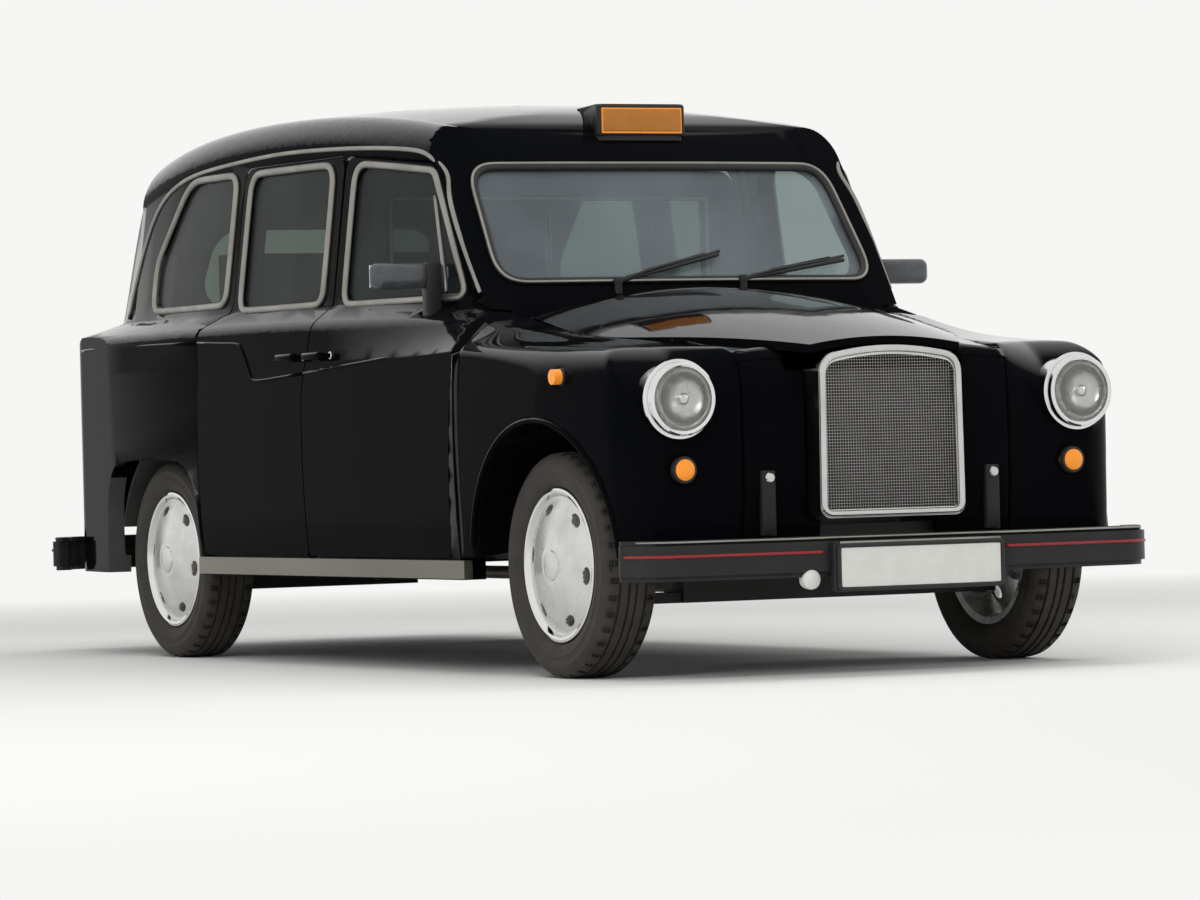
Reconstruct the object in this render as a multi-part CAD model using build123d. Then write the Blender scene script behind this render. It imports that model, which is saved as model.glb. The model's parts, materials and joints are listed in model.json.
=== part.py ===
from build123d import *
import math
import os

os.makedirs("parts", exist_ok=True)

# Frame: +X forward, +Y left, +Z up, ground at Z 0, origin under the middle of the overall box.
# Overall sizes in millimetres.
overall_length = 4570
half_length = overall_length / 2
front_axle_x = 1570
rear_axle_x = -1240
axle_z = 325
wheel_plane_y = 711

# Body levels and half widths.
sill_z = 290
side_y = 862
sill_y = 846
wall = 56

# Stations of the cabin, front to rear. Columns: x, height of the swage on the side, half width
# and height of the shoulder, half width and height of the window sill, lean of the side glass
# (mm inwards per mm up), gutter height, roof crown height.
cabin_stations = (
    (1070, 952, 748, 1044, 684, 1056, 0.070, 1460, 1560),
    (300, 940, 846, 1058, 775, 1118, 0.118, 1580, 1725),
    (-400, 940, 860, 1064, 800, 1122, 0.129, 1612, 1766),
    (-1100, 940, 860, 1064, 790, 1122, 0.129, 1580, 1750),
    (-1700, 940, 856, 1064, 725, 1122, 0.129, 1490, 1670),
    (-2200, 940, 852, 1060, 600, 1122, 0.129, 1350, 1500),
)
shoulder_round = 22
roof_shoulder_width = 105
roof_shoulder_drop = 38


def save(shape, node):
    export_step(shape, f"parts/{node}.step")


def rounded_face(corners):
    """A closed outline from corners (u, v, radius), each rounded by an arc."""
    count = len(corners)
    starts, mids, ends = [], [], []
    for index, (u, v, radius) in enumerate(corners):
        here = Vector(u, v)
        before = Vector(*corners[index - 1][:2]) - here
        after = Vector(*corners[(index + 1) % count][:2]) - here
        before = before.normalized()
        after = after.normalized()
        half_angle = math.radians(before.get_angle(after)) / 2
        if radius:
            reach = radius / math.tan(half_angle)
            middle = (before + after).normalized()
            starts.append(here + before * reach)
            ends.append(here + after * reach)
            mids.append(here + middle * (radius / math.sin(half_angle) - radius))
        else:
            starts.append(here)
            ends.append(here)
            mids.append(None)
    edges = []
    for index in range(count):
        if mids[index] is not None:
            edges.append(Edge.make_three_point_arc(starts[index], mids[index], ends[index]))
        following = (index + 1) % count
        if (starts[following] - ends[index]).length > 0.001:
            edges.append(Edge.make_line(ends[index], starts[following]))
    face = Face(Wire(edges))
    return face if face.normal_at().Z > 0 else -face


def side_prism(corners, y_low, y_high):
    """An outline in X and Z, carried across from one Y to another."""
    plane = Plane(origin=(0, y_high, 0), x_dir=(1, 0, 0), z_dir=(0, -1, 0))
    return extrude(plane * rounded_face(corners), y_high - y_low)


def front_prism(corners, x_low, x_high):
    """An outline in Y and Z, carried along from one X to another."""
    plane = Plane(origin=(x_low, 0, 0), x_dir=(0, 1, 0), z_dir=(1, 0, 0))
    return extrude(plane * rounded_face(corners), x_high - x_low)


def plan_prism(corners, z_low, z_high):
    """An outline in X and Y, carried up from one Z to another."""
    return extrude(Plane.XY.offset(z_low) * rounded_face(corners), z_high - z_low)


def box(x_low, x_high, y_low, y_high, z_low, z_high):
    size = (x_high - x_low, y_high - y_low, z_high - z_low)
    centre = ((x_low + x_high) / 2, (y_low + y_high) / 2, (z_low + z_high) / 2)
    return Pos(*centre) * Box(*size)


def rod(start, end, radius):
    """A round bar between two points."""
    start = Vector(*start)
    along = Vector(*end) - start
    return extrude(Plane(origin=start, z_dir=along) * Circle(radius), along.length)


def flip(shape):
    """The same piece on the other side of the car."""
    return shape.mirror(Plane.XZ)


def make_edge(points):
    """A line between two points, or an arc through three."""
    return Edge.make_line(*points) if len(points) == 2 else Edge.make_three_point_arc(*points)


def cabin_section(station, inset):
    x, swage_z, shoulder_y, shoulder_z, window_y, window_z, lean, gutter_z, crown_z = station
    gutter_y = window_y - lean * (gutter_z - window_z)
    top_z = crown_z - inset
    roof_edge_z = crown_z - roof_shoulder_drop - inset
    rise = roof_edge_z - (gutter_z - inset / 2)
    half = [
        Vector(x, sill_y - inset, sill_z - 10 + inset),
        Vector(x, side_y + 6 - inset, 660),
        Vector(x, side_y - inset, swage_z),
        Vector(x, shoulder_y - inset, shoulder_z - inset / 4),
        Vector(x, window_y - inset, window_z - inset / 4),
        Vector(x, gutter_y - inset, gutter_z - inset / 2),
        Vector(x, gutter_y - inset - 0.25 * roof_shoulder_width, gutter_z - inset / 2 + 0.72 * rise),
        Vector(x, gutter_y - inset - roof_shoulder_width, roof_edge_z),
    ]
    sill, bulge, swage, shoulder, window, gutter, curl, roof_edge = half
    below = shoulder + (swage - shoulder).normalized() * shoulder_round
    beyond = shoulder + (window - shoulder).normalized() * shoulder_round
    soft = shoulder * 0.5 + (below + beyond) * 0.25
    run = [
        (sill, bulge, swage),
        (swage, below),
        (below, soft, beyond),
        (beyond, window),
        (window, gutter),
        (gutter, curl, roof_edge),
    ]
    left = [make_edge(points) for points in run]
    right = [make_edge([Vector(p.X, -p.Y, p.Z) for p in reversed(points)]) for points in reversed(run)]
    roof_end = Vector(x, -roof_edge.Y, roof_edge.Z)
    roof = Edge.make_three_point_arc(roof_edge, Vector(x, 0, top_z), roof_end)
    base = Edge.make_line(Vector(x, -sill.Y, sill.Z), sill)
    return Face(Wire([base] + left + [roof] + right))


# The windscreen and the tail are trimmed from the cabin form.
screen_foot = (1000, 1150)
screen_head = (740, 1505)
screen_bow = 5500
tail_x = -2165
cabin_outline = (
    (1070, 200, 0),
    (1070, 1131, 0),
    (1004, 1145, 0),
    (602, 1692, 500),
    (300, 1737, 0),
    (-400, 2000, 0),
    (-1190, 1769, 0),
    (-1590, 1769, 550),
    (-1800, 1124, 60),
    (-2085, 1020, 190),
    (tail_x, 640, 400),
    (tail_x + 25, 200, 0),
)
tail_corner_radius = 270


def screen_trim(inset):
    """A tilted cylinder whose front face is the outside of the windscreen."""
    foot = Vector(screen_foot[0], 0, screen_foot[1])
    rise = Vector(screen_head[0] - screen_foot[0], 0, screen_head[1] - screen_foot[1]).normalized()
    inwards = Vector(-rise.Z, 0, rise.X)
    centre = foot + inwards * screen_bow - rise * 2000
    plane = Plane(origin=centre, x_dir=(0, 1, 0), z_dir=rise)
    return extrude(plane * Circle(screen_bow - inset), 5000)


# The scuttle falls from the foot of the windscreen to the bonnet. Columns: x, height of the middle,
# height at scuttle_half each side.
scuttle_half = 700
scuttle_stations = ((1085, 1128, 1040), (925, 1168, 1140))
screen_margin = 14


def scuttle_trim(inset):
    """What is cut off above the scuttle, in front of the windscreen."""
    faces = []
    for x, middle_z, side_z in scuttle_stations:
        start, end = Vector(x, -scuttle_half, side_z - inset), Vector(x, scuttle_half, side_z - inset)
        arch = Edge.make_three_point_arc(start, Vector(x, 0, middle_z - inset), end)
        roof = [Vector(x, scuttle_half, 1500), Vector(x, -scuttle_half, 1500)]
        sides = [Edge.make_line(end, roof[0]), Edge.make_line(roof[0], roof[1]), Edge.make_line(roof[1], start)]
        faces.append(Face(Wire([arch] + sides)))
    return loft(faces, ruled=True) - screen_trim(inset - screen_margin)


def cabin_form(inset):
    """The outside of the cabin and tail, or a form inside it by the inset."""
    form = loft([cabin_section(station, inset) for station in cabin_stations])
    side = Pos(inset, 0, -inset * 0.75) * side_prism(cabin_outline, -1000, 1000)
    half = 900 - inset
    rear_half = 775 - inset
    plan = plan_prism(
        (
            (1200, -half, 0),
            (1200, half, 0),
            (-1300, half, 0),
            (tail_x + inset, rear_half, tail_corner_radius),
            (tail_x + inset, -rear_half, tail_corner_radius),
            (-1300, -half, 0),
        ),
        100,
        2000,
    )
    return (form & (side & plan)) - scuttle_trim(inset)


# Every inner face of the shell is the outer form brought in by one of these depths.
glass_outer_depth = 6
glass_inner_depth = 13
flange_depth = 16
lid_depth = 30
shell_outer = cabin_form(0) & screen_trim(0)
shell_glass_out = cabin_form(glass_outer_depth) & screen_trim(glass_outer_depth)
shell_glass_in = cabin_form(glass_inner_depth) & screen_trim(glass_inner_depth)
shell_flange = cabin_form(flange_depth) & screen_trim(flange_depth)
shell_lid = cabin_form(lid_depth)
bulkhead_x = 1030
shell_inner = cabin_form(wall) & screen_trim(wall) & box(-3000, bulkhead_x, -1000, 1000, 200, 2000)
glass_layer = shell_glass_out - shell_glass_in
flange_layer = shell_outer - shell_flange
frame_layer = shell_flange - shell_inner

# Doors. The shut line between them leans back above the waist.
shut_x_low = -5
shut_x_high = 80
shut_bend_low = 860
shut_bend_high = 1130
door_bottom_z = 345
door_top_z = 1580


def latch_edge(away, gaps):
    """The latch side of a door, set off the shut line by (low, window sill, top) gaps."""
    low, middle, top = gaps
    return (
        (shut_x_high + away * top, door_top_z, 40),
        (shut_x_high + away * middle, shut_bend_high, 120),
        (shut_x_low + away * low, shut_bend_low, 200),
        (shut_x_low + away * low, door_bottom_z, 20),
    )


def grown(corners, inset, bottom_inset):
    """Latch corners with their top and bottom brought in."""
    top, middle, bend, low = corners
    return (
        (top[0], top[1] - inset, top[2]),
        middle,
        bend,
        (low[0], low[1] + bottom_inset, low[2]),
    )


def front_door_outline(inset, gaps):
    latch = grown(latch_edge(1, gaps), inset, inset)
    return (
        (1008 - inset, door_bottom_z + inset, 20),
        (1068 - inset, 1046 - inset, 20),
        (912 - inset, 1104 - inset * 0.5, 20),
        (652 - inset, 1530 - inset, 50),
    ) + latch


def rear_door_outline(inset, gaps):
    top, middle, bend, low = grown(latch_edge(-1, gaps), inset, inset)
    return (
        low,
        bend,
        middle,
        top,
        (-655 + inset, door_top_z - inset, 50),
        (-655 + inset, 1128 - inset, 60),
        (-818 + inset, 1070 - inset, 50),
        (-818 + inset, door_bottom_z + inset, 20),
    )


flange_gaps = (3.5, 5, 8.5)
frame_gaps = (45, 45, 45)
pillar_gaps = (20, 20, 20)
past_shut = (-6, -6, -6)
panel_gap = 5
front_window_corners = ((862, 1132, 20), (655, 1496, 50), (167, 1545, 60), (167, 1132, 40))
rear_window_corners = ((-3, 1138, 40), (-3, 1550, 60), (-587, 1552, 60), (-587, 1138, 40))
quarter_window_corners = ((-728, 1160, 45), (-728, 1556, 50), (-1120, 1556, 220), (-1385, 1300, 120), (-1385, 1160, 50))
door_outlines = {"front": front_door_outline, "rear": rear_door_outline}
door_windows = {"front": front_window_corners, "rear": rear_window_corners}
handle_x = {"front": 75, "rear": -125}
reach = 1000


def half_space_prism(corners):
    """An outline in X and Z carried through the right-hand side alone."""
    return side_prism(corners, -reach, -635)


def door(place):
    """A right-hand door: a thin outer flange over a thicker frame, with its window cut."""
    outline = door_outlines[place]
    skin = flange_layer & half_space_prism(outline(0, flange_gaps))
    frame = frame_layer & half_space_prism(outline(24, frame_gaps))
    panel = skin + frame - half_space_prism(door_windows[place])
    x = handle_x[place]
    handle = box(x, x + 120, -898, -880, 955, 973) + box(x + 10, x + 30, -882, -850, 956, 972)
    return panel + handle + box(x + 90, x + 110, -882, -850, 956, 972)


# Windscreen, rear window and their openings, seen from the front.
screen_corners = ((-632, 1166, 70), (-604, 1508, 80), (604, 1508, 80), (632, 1166, 70))
rear_glass_corners = ((-470, 1170, 90), (-420, 1440, 120), (420, 1440, 120), (470, 1170, 90))
screen_hole = front_prism(screen_corners[::-1], 450, 1200)
rear_hole = front_prism(rear_glass_corners[::-1], -2100, -1500)

# Rear wheel opening in the side, and the boot opening.
rear_arch_corners = (
    (rear_axle_x - 402, 100, 0),
    (rear_axle_x + 402, 100, 0),
    (rear_axle_x + 388, 640, 170),
    (rear_axle_x, 662, 900),
    (rear_axle_x - 388, 640, 170),
)
lid_box = (-2400, -1838, -520, 520, 500, 1300)


# Room for the front door's upper front corner, which swings back as it opens.
hinge_corner = box(860, 1080, -900, -600, 880, 1120)


def body_shell():
    shell = flange_layer + frame_layer
    for outline in (front_door_outline, rear_door_outline):
        skin_cut = half_space_prism(outline(-panel_gap, past_shut))
        frame_cut = half_space_prism(outline(16, pillar_gaps))
        cut = (shell_outer - shell_flange) & skin_cut
        inner_cut = shell_flange & frame_cut
        if outline is front_door_outline:
            inner_cut = inner_cut + (shell_flange & skin_cut & hinge_corner)
        shell = shell - cut - flip(cut) - inner_cut - flip(inner_cut)
    shell = shell - screen_hole - rear_hole
    quarter = half_space_prism(quarter_window_corners)
    arch = side_prism(rear_arch_corners, -reach, reach)
    shell = shell - quarter - flip(quarter) - arch - box(-2300, 1200, -770, 770, 200, 431)
    low, high = lid_box[0], lid_box[1] + 4
    shell = shell - box(low, high, lid_box[2] - 4, lid_box[3] + 4, lid_box[4] - 4, lid_box[5])
    return shell


shell = body_shell()
boot_lid = (shell_outer - shell_lid) & box(*lid_box)
save(shell, "body_shell")
save(boot_lid, "boot_lid")
save(glass_layer & screen_hole, "windscreen")
save(glass_layer & rear_hole, "rear_window")
quarter_glass = glass_layer & half_space_prism(quarter_window_corners)
save(Compound([quarter_glass, flip(quarter_glass)]), "quarter_windows")
doors = {place: door(place) for place in ("front", "rear")}
for place, panel in doors.items():
    pane = glass_layer & half_space_prism(door_windows[place])
    save(panel, f"door_{place}_right")
    save(flip(panel), f"door_{place}_left")
    save(pane, f"window_{place}_right")
    save(flip(pane), f"window_{place}_left")

# Nose: bonnet between two wings. Columns of the wing table: x, half width of the crest, its height,
# half width and height of the slope's foot, half width and height at the inner side.
nose_x = 2064
bonnet_rear_x = 1094
bonnet_front_x = 2109
wing_rear_x = 1078
nose_round = 250
wing_stations = (
    (wing_rear_x, 862, 950, 748, 1040, 560, 1062),
    (1500, 862, 946, 700, 972, 400, 996),
    (nose_x, 806, 926, 640, 936, 180, 926),
)
crest_radius = 90
slope_radius = 60
wing_side_outline = (
    (wing_rear_x, 330, 0),
    (nose_x - 20, 330, 0),
    (nose_x, 560, 300),
    (nose_x, 972, nose_round),
    (wing_rear_x, 1400, 0),
)
wing_plan_outline = (
    (wing_rear_x, 0, 0),
    (wing_rear_x, -900, 0),
    (1700, -900, 0),
    (nose_x + 10, -828, 240),
    (nose_x + 10, 0, 0),
)
front_arch_radius = 412
front_arch = Pos(front_axle_x, 0, axle_z) * Rot(90, 0, 0) * Cylinder(front_arch_radius, 2000)

# Bonnet sections: x, half width, height at the sides, height in the middle.
bonnet_stations = (
    (wing_rear_x, 700, 1021, 1137),
    (1500, 640, 945, 1086),
    (2160, 420, 884, 944),
)
bonnet_sheet = 22
bonnet_gap = 8
bonnet_rear_half = 604
bonnet_front_half = 246


def wing_section(station):
    x, crest_y, crest_z, slope_y, slope_z, inner_y, inner_z = station
    corners = (
        (-inner_y, 380, 0),
        (-inner_y, inner_z, 0),
        (-slope_y, slope_z, slope_radius),
        (-crest_y, crest_z, crest_radius),
        (-crest_y - 2, 700, 900),
        (-crest_y + 12, 340, 0),
    )
    plane = Plane(origin=(x, 0, 0), x_dir=(0, 1, 0), z_dir=(1, 0, 0))
    return plane * rounded_face(corners)


def wing_form():
    """The whole right half of the nose, with no openings."""
    form = loft([wing_section(station) for station in wing_stations])
    side = side_prism(wing_side_outline, -reach, 0)
    return form & side & plan_prism(wing_plan_outline, 200, 1300)


def bonnet_section(station, drop):
    x, half, edge_z, crown_z = station
    side = Vector(x, half - drop, edge_z - drop)
    other_side = Vector(x, -side.Y, side.Z)
    base = Vector(x, side.Y, 700)
    other_base = Vector(x, -side.Y, 700)
    edges = [
        Edge.make_line(base, side),
        Edge.make_three_point_arc(side, Vector(x, 0, crown_z - drop), other_side),
        Edge.make_line(other_side, other_base),
        Edge.make_line(other_base, base),
    ]
    return Face(Wire(edges))


def bonnet_plan(grow):
    """The bonnet's outline from above, grown by the gap around it."""
    rear, front = bonnet_rear_half + grow, bonnet_front_half + grow
    corners = (
        (bonnet_rear_x - grow, -rear, 0),
        (1430, -rear, 700),
        (bonnet_front_x + grow, -front, 0),
        (bonnet_front_x + grow, front, 0),
        (1430, rear, 700),
        (bonnet_rear_x - grow, rear, 0),
    )
    return plan_prism(corners, 300, 1300)


# Headlamp pods fair back from the lamp rims into the wings. Columns: x, y, z, radius.
lamp_y = 655
lamp_z = 790
lamp_radius = 104
lamp_face_x = nose_x + 22
pod_rings = ((1790, -628, 742, 205), (lamp_face_x, -lamp_y, lamp_z, lamp_radius + 8))
side_wall_y = 440


def lamp_pod():
    rings = []
    for x, y, z, radius in pod_rings:
        rings.append(Plane(origin=(x, y, z), x_dir=(0, 1, 0), z_dir=(1, 0, 0)) * Circle(radius))
    return loft(rings, ruled=True)


def wing(form):
    body = form + lamp_pod() - bonnet_plan(bonnet_gap) - front_arch
    seat = rod((nose_x - 60, -lamp_y, lamp_z), (nose_x + 60, -lamp_y, lamp_z), lamp_radius - 6)
    return body - seat - box(wing_rear_x - 10, nose_x + 100, -side_wall_y, 100, 200, 1300)


half_nose = wing_form()
right_wing = wing(half_nose)
indicator_y = 640
indicator_z = 591
indicator = rod((nose_x - 20, -indicator_y, indicator_z), (nose_x + 16, -indicator_y, indicator_z), 33)
repeater = rod((1731, -840, 863), (1731, -874, 863), 22)
right_wing = right_wing - indicator - repeater
save(right_wing, "front_wing_right")
save(flip(right_wing), "front_wing_left")
bonnet = loft([bonnet_section(s, 0) for s in bonnet_stations])
bonnet = bonnet - loft([bonnet_section(s, bonnet_sheet) for s in bonnet_stations])
bonnet = bonnet & bonnet_plan(0) & box(bonnet_rear_x, bonnet_front_x, -700, 700, 860, 1200)
save(bonnet, "bonnet")

# Front panel between the wings, grille, lamps.
grille_corners = ((-238, 444, 34), (238, 444, 34), (234, 905, 60), (0, 944, 900), (-234, 905, 60))
grille_face_x = 2136
grille_band_x = 2115
grille_frame_width = 24
grille_hood_z = 868


def shrunk(corners, by):
    """A front outline brought in towards its own middle line."""
    middle_z = sum(v for u, v, radius in corners) / len(corners)
    return tuple(
        (u - math.copysign(by, u) if u else 0, v - math.copysign(by, v - middle_z), max(radius - by, 6))
        for u, v, radius in corners
    )


grille_hole = front_prism(shrunk(grille_corners, grille_frame_width), 1900, 2300)
panel_half = side_wall_y - 1
panel_room = box(nose_x - 60, nose_x + 10, -panel_half, 0, 380, 1000)
half_panel = (half_nose & panel_room) - bonnet_plan(bonnet_gap)
under_bonnet = box(nose_x - 60, nose_x, -panel_half, 0, 380, grille_hood_z)
half_panel = half_panel + (under_bonnet & half_nose)
strut = box(nose_x - 30, nose_x + 12, -394, -344, 396, 563)
half_panel = half_panel + strut
front_panel = half_panel + flip(half_panel) - front_prism(grille_corners, 1900, 2300)
save(front_panel, "front_panel")
grille_back = front_prism(grille_corners, nose_x - 60, grille_face_x) & box(1900, 2300, -500, 500, 300, grille_hood_z)
grille_band = front_prism(grille_corners, grille_band_x, grille_face_x)
save(grille_back + grille_band - grille_hole, "grille_surround")
mesh_corners = shrunk(grille_corners, grille_frame_width)
save(front_prism(mesh_corners, grille_band_x + 1, grille_band_x + 7), "grille_mesh")

rim = rod((nose_x - 60, -lamp_y, lamp_z), (nose_x + 44, -lamp_y, lamp_z), lamp_radius - 6)
rim = rim + rod((lamp_face_x, -lamp_y, lamp_z), (nose_x + 44, -lamp_y, lamp_z), lamp_radius)
rim = rim - rod((nose_x + 20, -lamp_y, lamp_z), (nose_x + 60, -lamp_y, lamp_z), lamp_radius - 14)
save(Compound([rim, flip(rim)]), "headlamps")
lens_section = ((20, 0, 0), (58, 0, 0), (54, 50, 160), (44, 90, 0), (20, 90, 0))
lens = revolve(rounded_face(lens_section), Axis.X, 360)
lens = Pos(nose_x, -lamp_y, lamp_z) * lens
save(Compound([lens, flip(lens)]), "headlamp_lenses")

save(Compound([indicator, flip(indicator), repeater, flip(repeater)]), "indicator_lamps")
tail_lamp = box(-2190, -2060, -700, -610, 640, 860) - shell_outer
save(Compound([tail_lamp, flip(tail_lamp)]), "tail_lamps")

# Bumpers and plates. Columns of the bumper plan: x, y, radius.
bumper_low = 283
bumper_high = 396
bumper_lip = 14
bumper_plan = (
    (2070, -868, 18),
    (2215, -800, 110),
    (2255, -420, 700),
    (2255, 420, 700),
    (2215, 800, 110),
    (2070, 868, 18),
    (2070, 812, 10),
    (2180, 756, 80),
    (2206, 400, 650),
    (2206, -400, 650),
    (2180, -756, 80),
    (2070, -812, 10),
)
bumper_iron_y = (350, 400)
bumper_iron_z = (340, 376)


def bumper_bar(shift):
    """A bar along the plan, its lower and upper bands set back from the middle one."""
    bands = ((bumper_low, 0.97), (bumper_low + bumper_lip, 1), (bumper_high - bumper_lip, 0.97))
    tops = (bumper_low + bumper_lip, bumper_high - bumper_lip, bumper_high)
    bar = None
    for (low, share), high in zip(bands, tops):
        plan = [(u + shift - (0 if share == 1 else 9), v * (1 if share == 1 else 0.992), radius)
                for u, v, radius in bumper_plan]
        band = plan_prism(plan, low, high)
        bar = band if bar is None else bar + band
    return bar


front_bumper = bumper_bar(0)
iron = box(2000, 2212, -bumper_iron_y[1], -bumper_iron_y[0], *bumper_iron_z)
plinth = box(2250, half_length - 6, -274, 274, 244, 376)
save(front_bumper + iron + flip(iron) + plinth, "bumper_front")
rear_bumper = bumper_bar(30).mirror(Plane.YZ)
rear_iron = box(-2260, -2150, -bumper_iron_y[1], -bumper_iron_y[0], *bumper_iron_z) - shell_outer
save(rear_bumper + rear_iron + flip(rear_iron), "bumper_rear")
plate_front = box(half_length - 6, half_length, -260, 260, 252, 362)
plate_rear = box(-2180, -2166, -260, 260, 420, 495) - shell_outer
save(Compound([plate_front, plate_rear]), "number_plates")
strip = box(-836, 1120, -866, -838, 284, 338) - shell_outer
save(Compound([strip, flip(strip)]), "sill_strips")

# Roof sign and its lens.
sign_plan = ((400, -90, 30), (664, -152, 20), (664, 152, 20), (400, 90, 30))
sign_lens = box(652, 670, -138, 138, 1622, 1700)
sign = plan_prism(sign_plan, 1600, 1712) - box(652, 700, -138, 138, 1622, 1700)
save(sign - shell_outer - shell, "roof_sign")
save(sign_lens - shell_outer, "roof_sign_lens")

# Chassis: ladder frame with lifting pads, floor, engine, drive line.
rail_y = (340, 410)
rail_z = (340, 430)
cross_x = (-2100, -1600, -700, 0, 700, 1330, 1760, 1960)
pad_x = (450, -1500)
shaft_z = 345
frame = box(-2140, 2000, -rail_y[1], -rail_y[0], *rail_z)
for x in pad_x:
    frame = frame + box(x - 45, x + 45, -rail_y[1], -rail_y[0], rail_z[0] - 14, rail_z[0])
frame = frame + flip(frame)
for x in cross_x:
    frame = frame + box(x - 35, x + 35, -rail_y[0], rail_y[0], 345, 425)
frame = frame - rod((rear_axle_x, -600, axle_z), (rear_axle_x, 600, axle_z), 58)
frame = frame - rod((-1200, 0, shaft_z), (1100, 0, shaft_z), 44)
save(frame, "chassis_frame")
floor_z = (432, 452)
floor = shell_inner & box(-2300, 1200, -900, 900, *floor_z)
arch_skin = Pos(rear_axle_x, -700, axle_z) * Rot(90, 0, 0) * Cylinder(398, 200)
arch_room = Pos(rear_axle_x, -700, axle_z) * Rot(90, 0, 0) * Cylinder(388, 380)
cover = (arch_skin - arch_room) & box(-2000, -500, -900, 0, 440, 900)
floor = floor - arch_room - flip(arch_room) + cover + flip(cover)
save(floor, "floor_pan")
engine = box(1240, 1800, -220, 220, 425, 860)
bell_housing = box(1080, 1240, -150, 150, 290, 520)
gearbox = box(900, 1080, -110, 110, 290, 428)
save(engine + bell_housing + gearbox, "engine_block")
exhaust_y = 480
exhaust_z = 240
pipe = rod((-2200, exhaust_y, exhaust_z), (900, exhaust_y, exhaust_z), 22)
pipe = pipe + rod((-600, exhaust_y, exhaust_z), (0, exhaust_y, exhaust_z), 55)
pipe = pipe + rod((-2215, exhaust_y, exhaust_z), (-2145, exhaust_y, exhaust_z), 25)
for x in (-2080, -1000, 600):
    pipe = pipe + box(x - 8, x + 8, 400, exhaust_y + 8, exhaust_z, rail_z[0])
save(pipe, "exhaust")
tank = box(-2000, -1700, -330, 330, 205, 336)
for x in (-1950, -1750):
    tank = tank + box(x - 20, x + 20, -rail_y[1], rail_y[1], 330, rail_z[0])
save(tank, "fuel_tank")
axle_tube = 45
rear_axle = rod((rear_axle_x, -745, axle_z), (rear_axle_x, 745, axle_z), 29)
rear_axle = rear_axle + rod((rear_axle_x, -600, axle_z), (rear_axle_x, 600, axle_z), axle_tube)
rear_axle = rear_axle + Pos(rear_axle_x, 0, axle_z) * Sphere(100)
save(rear_axle, "rear_axle")
save(rod((-1180, 0, shaft_z), (900, 0, shaft_z), 32) - rear_axle, "propshaft")
spring = box(rear_axle_x - 640, rear_axle_x + 640, -470, -rail_y[1], axle_z + axle_tube, axle_z + axle_tube + 25)
save(Compound([spring, flip(spring)]), "leaf_springs")

# Front suspension and steering knuckles.
king_y = 620
arm_inner_y = 400
arm_outer_y = king_y + 30
lower_arm = box(front_axle_x - 45, front_axle_x + 45, -arm_outer_y, -arm_inner_y, 205, 235)
upper_arm = box(front_axle_x - 35, front_axle_x + 35, -arm_outer_y, -arm_inner_y, 425, 450)
tower = box(front_axle_x - 60, front_axle_x + 60, -412, -340, 205, 450)
beam = box(front_axle_x - 60, front_axle_x + 60, -345, 345, 205, 300)
suspension = beam
for piece in (lower_arm, upper_arm, tower):
    suspension = suspension + piece + flip(piece)
post_hole = rod((front_axle_x, -king_y, 100), (front_axle_x, -king_y, 600), 20.05)
suspension = suspension - post_hole - flip(post_hole)
save(suspension - frame, "front_suspension")
post = rod((front_axle_x, -king_y, 200), (front_axle_x, -king_y, 455), 20)
post = post + rod((front_axle_x, -king_y, 240), (front_axle_x, -king_y, 420), 34)
post = post + rod((front_axle_x, -king_y, axle_z), (front_axle_x, -745, axle_z), 29)
save(post, "knuckle_right")
save(flip(post), "knuckle_left")

# Wheels and tyres, turned about the Y axis. Columns of the sections: radius, width, corner radius.
rim_radius = 221
tyre_section = (
    (rim_radius, -60, 0),
    (rim_radius + 30, -84, 30),
    (axle_z - 40, -88, 30),
    (axle_z, -66, 18),
    (axle_z, 66, 18),
    (axle_z - 40, 88, 30),
    (rim_radius + 30, 84, 30),
    (rim_radius, 60, 0),
)
wheel_section = (
    (29.05, -20, 0),
    (60, -20, 0),
    (80, 40, 20),
    (186, 40, 12),
    (200, -62, 0),
    (rim_radius, -66, 0),
    (rim_radius, 70, 6),
    (208, 72, 6),
    (198, 60, 8),
    (160, 74, 90),
    (60, 96, 90),
    (0, 98, 0),
    (0, 70, 0),
    (29.05, 70, 0),
)
hole_count = 6
hole_circle = 168
hole_half_width = 26
hole_half_height = 15


def turned(section):
    """A section of (radius, width) spun about an axle along Y."""
    return revolve(Plane.XY * rounded_face(section), Axis.Y, 360)


def cover_hole(angle):
    """An oval hole through the wheel cover, long around the wheel."""
    plane = Plane(origin=(0, 30, 0), x_dir=(1, 0, 0), z_dir=(0, 1, 0))
    oval = plane * Pos(hole_circle, 0) * Ellipse(hole_half_height, hole_half_width)
    return Rot(0, angle, 0) * extrude(oval, 80)


wheel = turned(wheel_section)
for step in range(hole_count):
    wheel = wheel - cover_hole(10 + step * 360 / hole_count)
tyre = turned(tyre_section)
for name, axle_x in (("front", front_axle_x), ("rear", rear_axle_x)):
    for side, sign in (("right", -1), ("left", 1)):
        place = Pos(axle_x, sign * wheel_plane_y, axle_z)
        side_wheel = wheel if sign > 0 else flip(wheel)
        save(place * side_wheel, f"wheel_{name}_{side}")
        save(place * tyre, f"tyre_{name}_{side}")

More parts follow.
